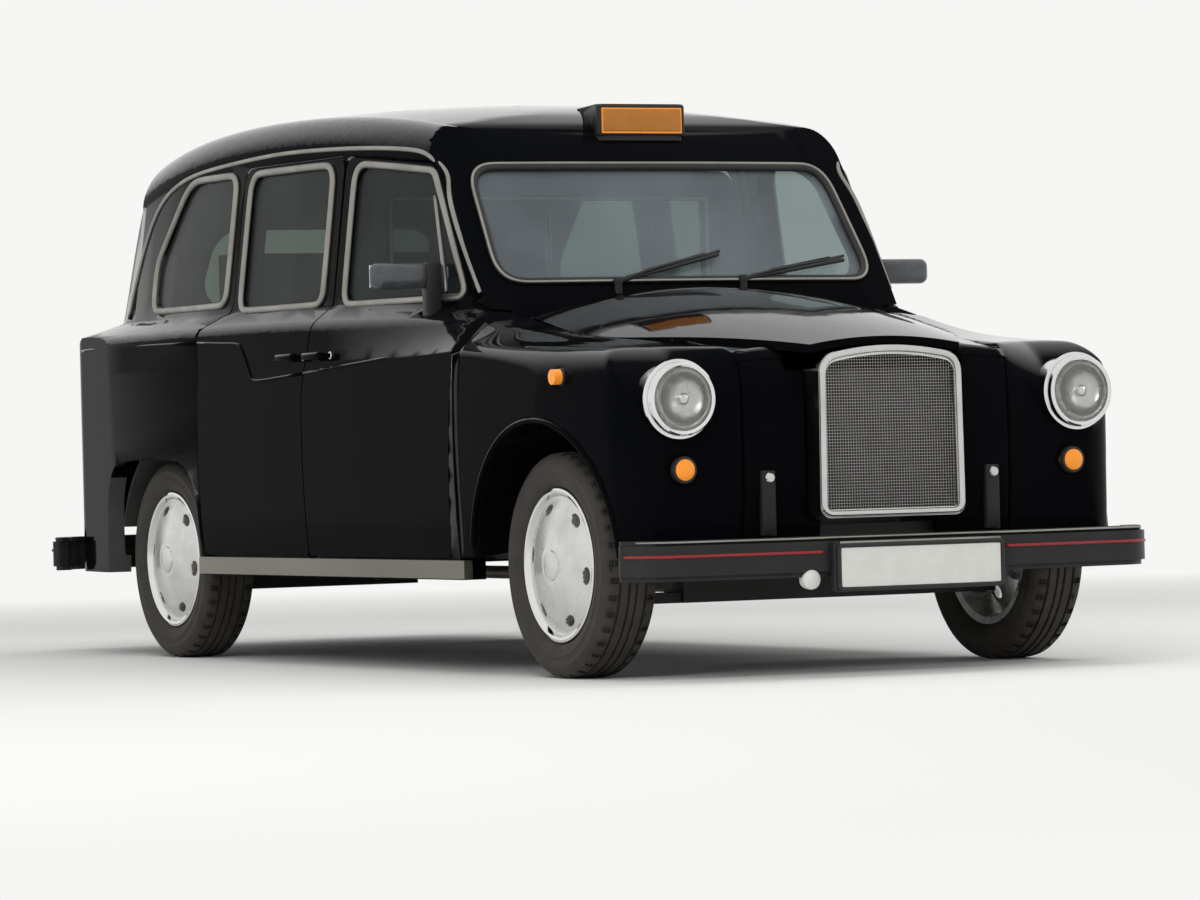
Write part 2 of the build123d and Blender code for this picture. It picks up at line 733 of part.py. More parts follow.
# Inside: dashboard, wheel and column, seats, partition.
driver_y = -370
steering_centre = Vector(640, driver_y, 1030)
wheel_axis = Vector(-0.64, 0, 0.77).normalized()
ring = Plane(origin=steering_centre, z_dir=wheel_axis) * Torus(195, 14)
hub = rod(steering_centre - wheel_axis * 40, steering_centre, 42)
spokes = Plane(origin=steering_centre - wheel_axis * 12, z_dir=wheel_axis) * (Box(380, 34, 10) + Box(34, 380, 10))
save(ring + hub + spokes, "steering_wheel")
column_top = steering_centre - wheel_axis * 46
column = rod(column_top - wheel_axis * 300, column_top, 26)
save(column, "steering_column")
dash = box(830, bulkhead_x, -620, 620, 820, 985) + box(830, 950, driver_y - 190, driver_y + 190, 985, 1065)
save((dash & shell_inner) - column, "dashboard")
seat_y = (-600, -140)
driver_seat = box(120, 620, *seat_y, 560, 720) + box(60, 200, *seat_y, 720, 1200)
driver_seat = driver_seat + box(150, 590, seat_y[0] + 40, seat_y[1] - 40, floor_z[1], 560)
save(driver_seat, "driver_seat")
bench_half = 590
bench = box(-1150, -620, -bench_half, bench_half, 660, 860) + box(-1250, -1100, -bench_half, bench_half, 860, 1330)
bench = bench + box(-1120, -660, -300, 300, floor_z[1], 660)
save(bench, "rear_seat")
partition_corners = (
    (-785, floor_z[1], 0),
    (785, floor_z[1], 0),
    (785, 1030, 0),
    (720, 1118, 0),
    (660, 1540, 60),
    (-660, 1540, 60),
    (-720, 1118, 0),
    (-785, 1030, 0),
)
partition = front_prism(partition_corners, -10, 30)
save(partition - box(-60, 60, -560, 560, 1080, 1450), "partition")

# Wipers, from a pivot on the scuttle to a tip on the windscreen. Columns: pivot y, its height,
# tip x, tip y, tip height.
wiper_pivot_x = 1006
wipers = ((-273, 1139, 955, 97, 1236), (155, 1144, 943, 543, 1217))
wiper_parts = []
for pivot_y, pivot_z, tip_x, tip_y, tip_z in wipers:
    pivot = rod((wiper_pivot_x, pivot_y, pivot_z - 20), (wiper_pivot_x, pivot_y, pivot_z + 22), 12)
    arm = rod((wiper_pivot_x, pivot_y, pivot_z + 16), (tip_x, tip_y, tip_z), 6)
    wiper_parts.append((pivot + arm) - shell_outer)
save(Compound(wiper_parts), "wipers")

# Mirrors on arms from the front doors.
mirror_corners = ((715, 1140, 18), (775, 1140, 30), (775, 1235, 30), (715, 1235, 18))
mirror_arm = rod((745, -748, 1062), (745, -862, 1160), 11)
mirror = side_prism(mirror_corners, -925, -800) + mirror_arm - doors["front"]
save(mirror, "mirror_right")
save(flip(mirror), "mirror_left")
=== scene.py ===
import json
import math

import bmesh
import bpy
from mathutils import Matrix, Vector
from mathutils.bvhtree import BVHTree


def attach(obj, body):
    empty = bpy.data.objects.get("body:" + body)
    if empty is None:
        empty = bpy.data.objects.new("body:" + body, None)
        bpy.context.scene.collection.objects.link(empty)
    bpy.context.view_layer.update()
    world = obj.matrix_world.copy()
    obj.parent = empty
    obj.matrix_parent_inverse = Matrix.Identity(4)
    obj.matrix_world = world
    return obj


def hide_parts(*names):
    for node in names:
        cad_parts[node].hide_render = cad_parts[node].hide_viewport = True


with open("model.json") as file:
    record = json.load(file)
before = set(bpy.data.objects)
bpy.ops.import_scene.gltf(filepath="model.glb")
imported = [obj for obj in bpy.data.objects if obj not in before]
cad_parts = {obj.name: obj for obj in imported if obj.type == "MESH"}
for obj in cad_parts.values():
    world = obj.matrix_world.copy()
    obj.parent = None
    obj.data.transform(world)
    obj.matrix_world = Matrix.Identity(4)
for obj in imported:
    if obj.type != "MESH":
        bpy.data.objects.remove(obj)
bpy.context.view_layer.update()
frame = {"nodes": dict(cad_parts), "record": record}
nodes = frame["nodes"]
mm = 0.001
sides = {"right": -1, "left": 1}
outward = {"right": "-Y", "left": "Y"}
ends = {"front": 1, "rear": -1}
bodyOf = {node: body for body, names in frame["record"]["behaviour"]["bodies"].items() for node in names}

# How far from the middle a search for the surface starts, beside the car and before or behind it (m)
farAside, farOff = 1.2, 3


# Finishes

def link(output, socket):
    socket.id_data.links.new(output, socket)


def newMaterial(name):
    material = bpy.data.materials.new(name)
    material.use_nodes = True
    tree = material.node_tree
    return material, tree, tree.nodes["Principled BSDF"]


def node(tree, kind, **values):
    made = tree.nodes.new("ShaderNode" + kind)
    for key, value in values.items():
        if key in made.inputs:
            made.inputs[key].default_value = value
        else:
            setattr(made, key, value)
    return made


def objectCoords(tree, scale=(1, 1, 1)):
    mapping = node(tree, "Mapping", Scale=scale)
    link(node(tree, "TexCoord").outputs["Object"], mapping.inputs["Vector"])
    return mapping.outputs["Vector"]


def noiseField(tree, vector, scale, detail=4.0):
    noise = node(tree, "TexNoise", Scale=scale, Detail=detail, Roughness=0.55)
    link(vector, noise.inputs["Vector"])
    return noise.outputs["Fac"]


def spread(tree, value, low, high, fromLow=0.3, fromHigh=0.7):
    limits = {"From Min": fromLow, "From Max": fromHigh, "To Min": low, "To Max": high}
    ranged = node(tree, "MapRange", **limits)
    link(value, ranged.inputs["Value"])
    return ranged.outputs["Result"]


def blendColours(tree, factor, first, second):
    mix = node(tree, "Mix", data_type="RGBA")
    link(factor, mix.inputs[0])
    for socket, value in ((mix.inputs[6], first), (mix.inputs[7], second)):
        if isinstance(value, tuple):
            socket.default_value = (*value, 1)
        else:
            link(value, socket)
    return mix.outputs[2]


def bumpFrom(tree, height, strength, distance):
    bump = node(tree, "Bump", Strength=strength, Distance=distance)
    link(height, bump.inputs["Height"])
    return bump.outputs["Normal"]


# Film: the most of the dust's colour that shows, and the noise values between which it comes up;
# depth: of the grain, as a share of its size
filmLook = dict(most=0.5, between=(0.35, 0.75), grainDetail=2.0, depth=0.12)


def makeFinish(name, look):
    material, tree, shader = newMaterial(name)
    vector = objectCoords(tree, look.get("stretch", (1, 1, 1)))
    patches = noiseField(tree, vector, 1 / look["patch"])
    grain = noiseField(tree, vector, 1 / look["grain"], filmLook["grainDetail"])
    film = spread(tree, patches, 0.0, filmLook["most"], *filmLook["between"])
    colour = blendColours(tree, film, look["colour"], look["dust"])
    link(colour, shader.inputs["Base Color"])
    link(spread(tree, patches, *look["roughness"]), shader.inputs["Roughness"])
    normal = bumpFrom(tree, grain, look.get("bump", 0.15), look["grain"] * filmLook["depth"])
    link(normal, shader.inputs["Normal"])
    shader.inputs["Metallic"].default_value = look.get("metallic", 0.0)
    shader.inputs["IOR"].default_value = look.get("ior", 1.45)
    # Painted sheen: the gloss grows at a slant only where the surface looks upward, so tops shine and sides
    # stay dark
    if "slant" in look:
        facing = node(tree, "LayerWeight", Blend=0.5)
        first, last, low, high = look["slant"]
        turned = spread(tree, facing.outputs["Facing"], 0.0, 1.0, first, last)
        axes = node(tree, "SeparateXYZ")
        link(node(tree, "TexCoord").outputs["Normal"], axes.inputs[0])
        upward = spread(tree, axes.outputs["Z"], 0.0, 1.0, *look["upward"])
        paintedSheenShare = node(tree, "Math", operation="MULTIPLY")
        link(turned, paintedSheenShare.inputs[0])
        link(upward, paintedSheenShare.inputs[1])
        level = spread(tree, paintedSheenShare.outputs[0], low, high, 0.0, 1.0)
        link(level, shader.inputs["Specular IOR Level"])
    if "transmission" in look:
        shader.inputs["Transmission Weight"].default_value = look["transmission"]
    # Painted glow: the lens gives off light of its own colour though it is not lit
    if "emission" in look:
        shader.inputs["Emission Color"].default_value = (*look["colour"], 1)
        shader.inputs["Emission Strength"].default_value = look["emission"]
    return material


# Colour and the paler dust on it, sizes of the patches and the grain (m), roughness from and to, the rest.
# slant: from and to facing, and the gloss level seen straight on and at a slant;
# upward: how far up a surface has to look to show that gloss, a painted sheen that lets tops shine and keeps
# sides dark whatever the light
def coat(colour, dust, patch, grain, roughness, **rest):
    return dict(colour=colour, dust=dust, patch=patch, grain=grain, roughness=roughness, **rest)


finishes = dict(
    # Black paint with a painted sheen on its upward surfaces
    black_paint=coat((0.0022, 0.0025, 0.0034), (0.0045, 0.0048, 0.0055), 0.6, 0.004, (0.03, 0.07), bump=0.015,
                     slant=(0.45, 0.85, 0.012, 1.0), upward=(0.1, 0.5)),
    chassis_black=coat((0.012, 0.012, 0.012), (0.06, 0.052, 0.044), 0.12, 0.006, (0.5, 0.75), bump=0.3),
    engine_metal=coat((0.08, 0.08, 0.08), (0.13, 0.11, 0.09), 0.1, 0.004, (0.5, 0.7), metallic=0.6, bump=0.5),
    exhaust_steel=coat((0.22, 0.19, 0.16), (0.12, 0.07, 0.045), 0.08, 0.003, (0.4, 0.65), metallic=0.8),
    grey_chrome=coat((0.62, 0.62, 0.61), (0.42, 0.41, 0.39), 0.12, 0.002, (0.12, 0.28), metallic=1.0,
                     bump=0.05),
    grille_grey=coat((0.5, 0.48, 0.465), (0.34, 0.325, 0.31), 0.05, 0.002, (0.35, 0.5), metallic=0.7),
    chrome=coat((0.78, 0.78, 0.78), (0.6, 0.6, 0.6), 0.1, 0.002, (0.05, 0.12), metallic=1.0, bump=0.03),
    sill_steel=coat((0.21, 0.195, 0.17), (0.15, 0.14, 0.12), 0.25, 0.003, (0.25, 0.45), stretch=(0.2, 1, 1),
                    metallic=1.0, bump=0.08),
    frame_trim=coat((0.34, 0.33, 0.30), (0.22, 0.21, 0.19), 0.1, 0.002, (0.35, 0.5), metallic=1.0, bump=0.05),
    bumper_black=coat((0.017, 0.017, 0.018), (0.032, 0.031, 0.031), 0.15, 0.0012, (0.3, 0.42), bump=0.12,
                      ior=1.3),
    coach_red=coat((0.28, 0.012, 0.02), (0.2, 0.03, 0.03), 0.1, 0.002, (0.25, 0.35)),
    plate_white=coat((0.74, 0.74, 0.71), (0.62, 0.61, 0.57), 0.05, 0.003, (0.25, 0.4), bump=0.05),
    dash_grey=coat((0.09, 0.09, 0.095), (0.13, 0.13, 0.13), 0.2, 0.0015, (0.5, 0.65), bump=0.4),
    column_black=coat((0.02, 0.02, 0.02), (0.04, 0.04, 0.04), 0.1, 0.0012, (0.35, 0.5), bump=0.3),
    seat_trim=coat((0.07, 0.07, 0.075), (0.11, 0.11, 0.11), 0.15, 0.002, (0.4, 0.55), bump=0.5),
    wheel_silver=coat((0.72, 0.72, 0.71), (0.45, 0.42, 0.37), 0.08, 0.0015, (0.22, 0.36), metallic=0.85,
                      bump=0.06),
    tyre_rubber=coat((0.028, 0.025, 0.022), (0.085, 0.074, 0.06), 0.06, 0.002, (0.7, 0.85), bump=0.3),
    seal_rubber=coat((0.01, 0.01, 0.01), (0.03, 0.03, 0.03), 0.06, 0.001, (0.45, 0.6), bump=0.1),
    # The amber lenses carry a faint painted glow
    amber_lens=coat((0.85, 0.27, 0.02), (0.7, 0.24, 0.03), 0.02, 0.004, (0.12, 0.2), bump=0.3, emission=0.25),
    red_lens=coat((0.4, 0.01, 0.01), (0.3, 0.02, 0.02), 0.02, 0.004, (0.12, 0.2), bump=0.3),
    lamp_glass=coat((0.9, 0.92, 0.93), (0.8, 0.82, 0.82), 0.03, 0.006, (0.04, 0.08), bump=0.3,
                    transmission=1.0),
    reflector=coat((0.78, 0.75, 0.7), (0.66, 0.63, 0.58), 0.03, 0.003, (0.15, 0.3), metallic=0.7, bump=0.05),
    mirror_shell=coat((0.05, 0.055, 0.06), (0.12, 0.13, 0.14), 0.05, 0.002, (0.12, 0.2), bump=0.05),
    mirror_glass=coat((0.8, 0.82, 0.84), (0.7, 0.72, 0.74), 0.05, 0.004, (0.02, 0.05), metallic=1.0,
                      bump=0.01),
    # The sign's lens carries a fainter painted glow
    sign_lens=coat((0.42, 0.155, 0.018), (0.3, 0.11, 0.015), 0.05, 0.004, (0.2, 0.3), bump=0.3,
                   emission=0.08),
    dash_pale=coat((0.2, 0.21, 0.22), (0.26, 0.27, 0.27), 0.2, 0.0015, (0.5, 0.65), bump=0.4),
    floor_rubber=coat((0.03, 0.03, 0.03), (0.07, 0.065, 0.06), 0.15, 0.004, (0.6, 0.8), bump=0.3),
)
finish = {name: makeFinish(name, look) for name, look in finishes.items()}


# Tinted glass: clear with a colour straight through, a mirror sheen at a slant, faint dust patches as a pale
# film, which on the windscreen is thick enough to be a painted reflection as well. leastDust: the least of
# the dust as a share of the most
def makeGlass(name, look):
    glass, tree, shader = newMaterial(name)
    through = node(tree, "BsdfTransparent", Color=(*look["tint"], 1))
    sheen = node(tree, "BsdfGlossy", Roughness=0.0)
    film = node(tree, "BsdfDiffuse", Color=(*look["dust"], 1))
    facing = node(tree, "LayerWeight", Blend=0.5)
    curve = node(tree, "Math", operation="POWER")
    curve.inputs[1].default_value = look["falloff"]
    link(facing.outputs["Facing"], curve.inputs[0])
    slant = spread(tree, curve.outputs[0], *look["sheen"], 0.0, 1.0)
    patches = noiseField(tree, objectCoords(tree), 1 / look["patch"])
    # The pale film in patches: dust, and on the windscreen painted reflection too
    share = spread(tree, patches, look["dustAndPaintedReflectionShare"] * look["leastDust"], look["dustAndPaintedReflectionShare"])
    dustedAndPaintedReflection = mixShaders(tree, share, through, film)
    shined = mixShaders(tree, slant, dustedAndPaintedReflection, sheen)
    tree.nodes.remove(shader)
    link(shined.outputs[0], tree.nodes["Material Output"].inputs["Surface"])
    return glass


def mixShaders(tree, share, first, second):
    mix = node(tree, "MixShader")
    link(share, mix.inputs[0])
    link(first.outputs[0], mix.inputs[1])
    link(second.outputs[0], mix.inputs[2])
    return mix


glassLook = dict(
    window_glass=dict(tint=(0.52, 0.56, 0.53), dust=(0.5, 0.56, 0.6), dustAndPaintedReflectionShare=0.03, leastDust=0.4,
                      patch=0.3, sheen=(0.004, 0.6), falloff=5),
    # The windscreen's thicker pale film is part dust, part painted reflection
    screen_glass=dict(tint=(0.84, 0.89, 0.91), dust=(0.5, 0.56, 0.6), dustAndPaintedReflectionShare=0.16, leastDust=0.4,
                      patch=0.5, sheen=(0.02, 0.9), falloff=5),
)
for name, look in glassLook.items():
    finish[name] = makeGlass(name, look)

# Cab lining: dark trim below the windows' middles, pale headlining above them
liningLook = dict(trim=(0.045, 0.045, 0.05), worn=(0.075, 0.073, 0.07), head=(0.42, 0.41, 0.385),
                  aged=(0.33, 0.32, 0.29), change=(1.34, 1.37), patch=0.25, grain=0.0025, wear=0.8, bump=0.1,
                  depth=0.0003, roughness=0.8)
lining, tree, shader = newMaterial("cab_lining")
vector = objectCoords(tree)
patches = noiseField(tree, vector, 1 / liningLook["patch"])
worn = spread(tree, patches, 0.0, liningLook["wear"])
below = blendColours(tree, worn, liningLook["trim"], liningLook["worn"])
above = blendColours(tree, worn, liningLook["head"], liningLook["aged"])
parts = node(tree, "SeparateXYZ")
link(vector, parts.inputs[0])
height = spread(tree, parts.outputs["Z"], 0.0, 1.0, *liningLook["change"])
link(blendColours(tree, height, below, above), shader.inputs["Base Color"])
grain = noiseField(tree, vector, 1 / liningLook["grain"], filmLook["grainDetail"])
link(bumpFrom(tree, grain, liningLook["bump"], liningLook["depth"]), shader.inputs["Normal"])
shader.inputs["Roughness"].default_value = liningLook["roughness"]
finish["cab_lining"] = lining
print("finishes made")


# Making and placing pieces

def linked(name, data):
    made = bpy.data.objects.new(name, data)
    bpy.context.collection.objects.link(made)
    return made


# The piece takes its mesh's name
def place(mesh, material, body="cab", swap=()):
    piece = linked(mesh.name, mesh)
    mesh.materials.clear()
    mesh.materials.append(finish[material])
    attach(piece, body)
    if swap:
        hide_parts(*swap)
    return piece


def opened(mesh):
    bm = bmesh.new()
    bm.from_mesh(mesh)
    return bm


def written(bm, mesh):
    bm.to_mesh(mesh)
    bm.free()


def faceOut(bm):
    bmesh.ops.recalc_face_normals(bm, faces=bm.faces)


def meshFrom(bm, name, smoothAngle=35):
    mesh = bpy.data.meshes.new(name)
    written(bm, mesh)
    for face in mesh.polygons:
        face.use_smooth = True
    mesh.set_sharp_from_angle(angle=math.radians(smoothAngle))
    return mesh


# A new mesh of what the piece's modifiers make of it
def evaluatedMesh(piece):
    return bpy.data.meshes.new_from_object(piece.evaluated_get(bpy.context.evaluated_depsgraph_get()))


# Points nearer to each other than this become one (mm)
mergeWithin = dict(skin=0.02, tube=0.01, spun=0.005)


def merge(bm, kind):
    bmesh.ops.remove_doubles(bm, verts=bm.verts, dist=mergeWithin[kind] * mm)


def smoothVerts(bm, factor):
    bmesh.ops.smooth_vert(bm, verts=bm.verts, factor=factor, use_axis_x=True, use_axis_y=True,
                          use_axis_z=True)


# A merged, smooth-shaded copy of a rigid node stands for it; flat faces within the angle (degrees) are joined
def smoothCopy(name, material, smoothAngle=30, flatWithin=0.6):
    bm = opened(nodes[name].data)
    merge(bm, "skin")
    bmesh.ops.dissolve_limit(bm, angle_limit=math.radians(flatWithin), verts=bm.verts, edges=bm.edges)
    piece = place(meshFrom(bm, name + "_skin", smoothAngle), material, bodyOf[name], (name,))
    even = piece.modifiers.new("even_shading", "WEIGHTED_NORMAL")
    even.keep_sharp = True
    return piece


# A round moulding along a smooth line through space (m), with its radius in mm, made a mesh
def tube(name, points, radius, material, body="cab", closed=False):
    curve = bpy.data.curves.new(name, "CURVE")
    curve.dimensions = "3D"
    curve.bevel_depth = radius * mm
    curve.bevel_resolution = 3
    curve.resolution_u = 4
    curve.use_fill_caps = not closed
    spline = curve.splines.new("NURBS")
    spline.points.add(len(points) - 1)
    for target, point in zip(spline.points, points):
        target.co = (*point, 1)
    spline.use_cyclic_u = closed
    spline.order_u = 3
    spline.use_endpoint_u = not closed
    holder = linked(name + "_line", curve)
    mesh = evaluatedMesh(holder)
    bpy.data.objects.remove(holder)
    bpy.data.curves.remove(curve)
    bm = opened(mesh)
    merge(bm, "tube")
    faceOut(bm)
    written(bm, mesh)
    mesh.name = name
    for face in mesh.polygons:
        face.use_smooth = True
    return place(mesh, material, body)


# The joined surface of some nodes, for laying trim on
def surfaceOf(*names):
    bm = bmesh.new()
    for name in names:
        bm.from_mesh(nodes[name].data)
    tree = BVHTree.FromBMesh(bm)
    bm.free()
    return tree


skins = {
    side: surfaceOf("body_shell", f"door_front_{side}", f"door_rear_{side}", f"front_wing_{side}")
    for side in sides
}
panes = {side: surfaceOf(f"window_front_{side}") for side in sides}


def inMetres(x, y, z):
    return Vector((x * mm, y * mm, z * mm))


# Points y and z (mm) of an outline, stood up at x (mm)
def atX(x, outline):
    return [inMetres(x, y, z) for y, z in outline]


# The point of the body side at x and z (mm), lifted off it (mm)
def onSide(side, x, z, lift=0.0, over=skins):
    sign = sides[side]
    start = Vector((x * mm, sign * farAside, z * mm))
    hit, normal, index, distance = over[side].ray_cast(start, Vector((0, -sign, 0)))
    if hit is None:
        raise ValueError(f"no body side at {x}, {z}")
    return hit + Vector((0, sign * lift * mm, 0))


# Points along a closed outline of corners (u, v, radius), grown outwards
def roundedOutline(corners, grow=0.0, perCorner=5):
    count = len(corners)
    centre = Vector((sum(c[0] for c in corners) / count, sum(c[1] for c in corners) / count))
    points = []
    for index, (u, v, radius) in enumerate(corners):
        here = Vector((u, v))
        before = (Vector(corners[index - 1][:2]) - here).normalized()
        after = (Vector(corners[(index + 1) % count][:2]) - here).normalized()
        half = before.angle(after) / 2
        reach = (radius + grow) / math.tan(half)
        outwards = -(before + after).normalized()
        corner = here + outwards * (grow / math.sin(half))
        if (corner - centre).length < (here - centre).length and grow > 0:
            corner = here - outwards * (grow / math.sin(half))
        for step in range(perCorner):
            t = step / (perCorner - 1)
            start = corner + before * reach * (1 - t) ** 2
            points.append(start + after * reach * t ** 2)
    return points


# Corners (mm) of a block on the left side, or of its twin on the right
def mirrored(corners, sign):
    (xLow, near, zLow), (xHigh, far, zHigh) = corners
    yLow, yHigh = sorted((sign * near, sign * far))
    return (xLow, yLow, zLow), (xHigh, yHigh, zHigh)


# The turn that brings a shape spun about Y to each axis
turnTo = {"Y": (0, "Z"), "-Y": (math.pi, "Z"), "X": (-math.pi / 2, "Z"), "-X": (math.pi / 2, "Z"),
          "Z": (math.pi / 2, "X")}


# A profile of (radius, along) in mm spun about an axis through centre (m)
def spunMesh(name, profile, centre, axis, steps):
    bm = bmesh.new()
    verts = [bm.verts.new((radius * mm, along * mm, 0)) for radius, along in profile]
    edges = [bm.edges.new(pair) for pair in zip(verts, verts[1:])]
    bmesh.ops.spin(bm, geom=verts + edges, cent=(0, 0, 0), axis=(0, 1, 0), dvec=(0, 0, 0),
                   angle=2 * math.pi, steps=steps, use_merge=True, use_duplicate=False)
    merge(bm, "spun")
    faceOut(bm)
    angle, about = turnTo[axis]
    bmesh.ops.rotate(bm, cent=(0, 0, 0), matrix=Matrix.Rotation(angle, 3, about), verts=bm.verts)
    bmesh.ops.translate(bm, vec=centre, verts=bm.verts)
    return meshFrom(bm, name, smoothAngle=30)


def addSpun(name, profile, centre, axis, material, body="cab", swap=(), steps=96):
    place(spunMesh(name, profile, centre, axis, steps), material, body, swap)


# A rounded block between two corners (mm)
def blockMesh(name, corners, bevel, segments=3, taper=None):
    low, high = corners
    bm = bmesh.new()
    bmesh.ops.create_cube(bm, size=1)
    size = [(b - a) * mm for a, b in zip(low, high)]
    middle = [(b + a) / 2 * mm for a, b in zip(low, high)]
    bmesh.ops.scale(bm, vec=size, verts=bm.verts)
    if taper:
        taper(bm)
    bmesh.ops.bevel(bm, geom=bm.edges[:], offset=bevel * mm, segments=segments, profile=0.5,
                    affect="EDGES", material=-1, clamp_overlap=True)
    bmesh.ops.translate(bm, vec=middle, verts=bm.verts)
    return meshFrom(bm, name, smoothAngle=40)


def addBlock(name, corners, bevel, material, body="cab", swap=(), segments=3, taper=None):
    place(blockMesh(name, corners, bevel, segments, taper), material, body, swap)


# Body panels: painted outside, and lined where the cab's panels look inwards.
# towards: how far they look at the middle; endFacing, sideFacing: how far walls look along x and y;
# cabin: x behind and ahead of which end walls stand; roof: z above which all is headlining (m)
inside = dict(middle=(-0.1, 0.0, 0.95), towards=0.02, endFacing=0.7, sideFacing=0.35, cabin=(-1.2, 0.6),
                  roof=1.57)


def lineInside(piece):
    piece.data.materials.append(finish["cab_lining"])
    rearWall, frontWall = inside["cabin"]
    for face in piece.data.polygons:
        centre, normal = face.center, face.normal
        inwards = normal.dot(Vector(inside["middle"]) - centre) > inside["towards"]
        endWall = abs(normal.x) > inside["endFacing"] and not rearWall < centre.x < frontWall
        sideWall = abs(normal.y) > inside["sideFacing"]
        if inwards and (centre.z > inside["roof"] or sideWall or endWall):
            face.material_index = 1


# Front wings: the solid's form, with its front corner and its brow rounded as on the pressed panel.
# corner: height (mm), x of the front, half width, radius seen from above; brow: x, z, radius from the side
wing = dict(
    voxel=8.0, panelVoxel=7.0, rounds=8, smoothing=0.5, crease=60,
    corners=((330, 2044, 846, 120), (560, 2064, 858, 140), (700, 2064, 860, 150), (830, 2056, 858, 170),
             (920, 2030, 852, 190), (1100, 1950, 846, 200)),
    brow=(2064, 966), browRadius=((440, 170), (600, 300)),
)


# A point outside the rounding of the corner at x, y is brought back onto it
def rounded(x, y, xCorner, yCorner, radius):
    alongX, alongY = x - (xCorner - radius), y - (yCorner - radius)
    reach = math.hypot(alongX, alongY)
    if alongX <= 0 or alongY <= 0 or reach <= radius:
        return min(x, xCorner), min(y, yCorner)
    return xCorner - radius + alongX * radius / reach, yCorner - radius + alongY * radius / reach


def cornerAt(z):
    table = wing["corners"]
    if z <= table[0][0]:
        return table[0][1:]
    for below, above in zip(table, table[1:]):
        if z <= above[0]:
            share = (z - below[0]) / (above[0] - below[0])
            return tuple(a + (b - a) * share for a, b in zip(below[1:], above[1:]))
    return table[-1][1:]


def pressedPanel(name, sign, voxel):
    bm = opened(nodes[name].data)
    merge(bm, "skin")
    piece = place(meshFrom(bm, name + "_pressed"), "black_paint", "cab", (name,))
    grid = piece.modifiers.new("grid", "REMESH")
    grid.mode = "VOXEL"
    grid.voxel_size = voxel * mm
    mesh = evaluatedMesh(piece)
    piece.modifiers.clear()
    bm = opened(mesh)
    (innerY, inner), (outerY, outer) = wing["browRadius"]
    for vert in bm.verts:
        x, y, z = vert.co.x / mm, vert.co.y / mm * sign, vert.co.z / mm
        brow = inner + (outer - inner) * min(max((abs(y) - innerY) / (outerY - innerY), 0), 1)
        if x > wing["brow"][0] - brow:
            x, z = rounded(x, z, *wing["brow"], brow)
        x, y = rounded(x, y, *cornerAt(z))
        vert.co = inMetres(x, y * sign, z)
    for turn in range(wing["rounds"]):
        smoothVerts(bm, wing["smoothing"])
    faceOut(bm)
    finished = meshFrom(bm, name + "_pressed", wing["crease"])
    finished.materials.append(finish["black_paint"])
    piece.data = finished


for side, sign in sides.items():
    pressedPanel(f"front_wing_{side}", sign, wing["voxel"])
pressedPanel("front_panel", 1, wing["panelVoxel"])
for name in ("boot_lid", "bonnet"):
    smoothCopy(name, "black_paint")
for name in ("door_front_right", "door_front_left", "door_rear_right", "door_rear_left"):
    lineInside(smoothCopy(name, "black_paint"))
lineInside(smoothCopy("body_shell", "black_paint", smoothAngle=48))
# Nodes that keep their form, by finish
plainFinish = (
    ("screen_glass", "windscreen"),
    ("window_glass", "rear_window", "quarter_windows", "window_front_right", "window_front_left",
     "window_rear_right", "window_rear_left"),
    ("chassis_black", "chassis_frame"), ("floor_rubber", "floor_pan"),
    ("chassis_black", "fuel_tank", "propshaft", "front_suspension", "rear_axle", "leaf_springs",
     "knuckle_right", "knuckle_left"),
    ("engine_metal", "engine_block"), ("exhaust_steel", "exhaust"), ("grey_chrome", "grille_surround"),
    ("chrome", "headlamps"), ("amber_lens", "indicator_lamps", "roof_sign_lens"), ("red_lens", "tail_lamps"),
    ("bumper_black", "bumper_front", "bumper_rear", "roof_sign", "wipers"), ("plate_white", "number_plates"),
    ("sill_steel", "sill_strips"), ("dash_grey", "dashboard", "partition"),
    ("column_black", "steering_column", "steering_wheel"),
)
for material, *names in plainFinish:
    for name in names:
        smoothCopy(name, material)
for end in ends:
    for side in sides:
        smoothCopy(f"wheel_{end}_{side}", "wheel_silver")
for name in ("driver_seat", "rear_seat"):
    smoothCopy(name, "seat_trim")
print("body panels and fittings dressed")

# Window mouldings: corners as x, z, radius in mm
windowTrim = dict(
    radius=12.0, grow=13.0, lift=1.0,
    front=((862, 1132, 20), (655, 1496, 50), (167, 1545, 60), (167, 1132, 40)),
    rear=((-3, 1138, 40), (-3, 1550, 60), (-587, 1552, 60), (-587, 1138, 40)),
    quarter=((-728, 1160, 45), (-728, 1556, 50), (-1120, 1556, 220), (-1385, 1300, 120), (-1385, 1160, 50)),
)
for side in sides:
    for window, body in (("front", f"door_front_{side}"), ("rear", f"door_rear_{side}"), ("quarter", "cab")):
        outline = roundedOutline(windowTrim[window], windowTrim["grow"])
        line = [onSide(side, u, v, windowTrim["lift"]) for u, v in outline]
        tube(f"window_moulding_{window}_{side}", line, windowTrim["radius"], "frame_trim", body, closed=True)
print("window mouldings laid")

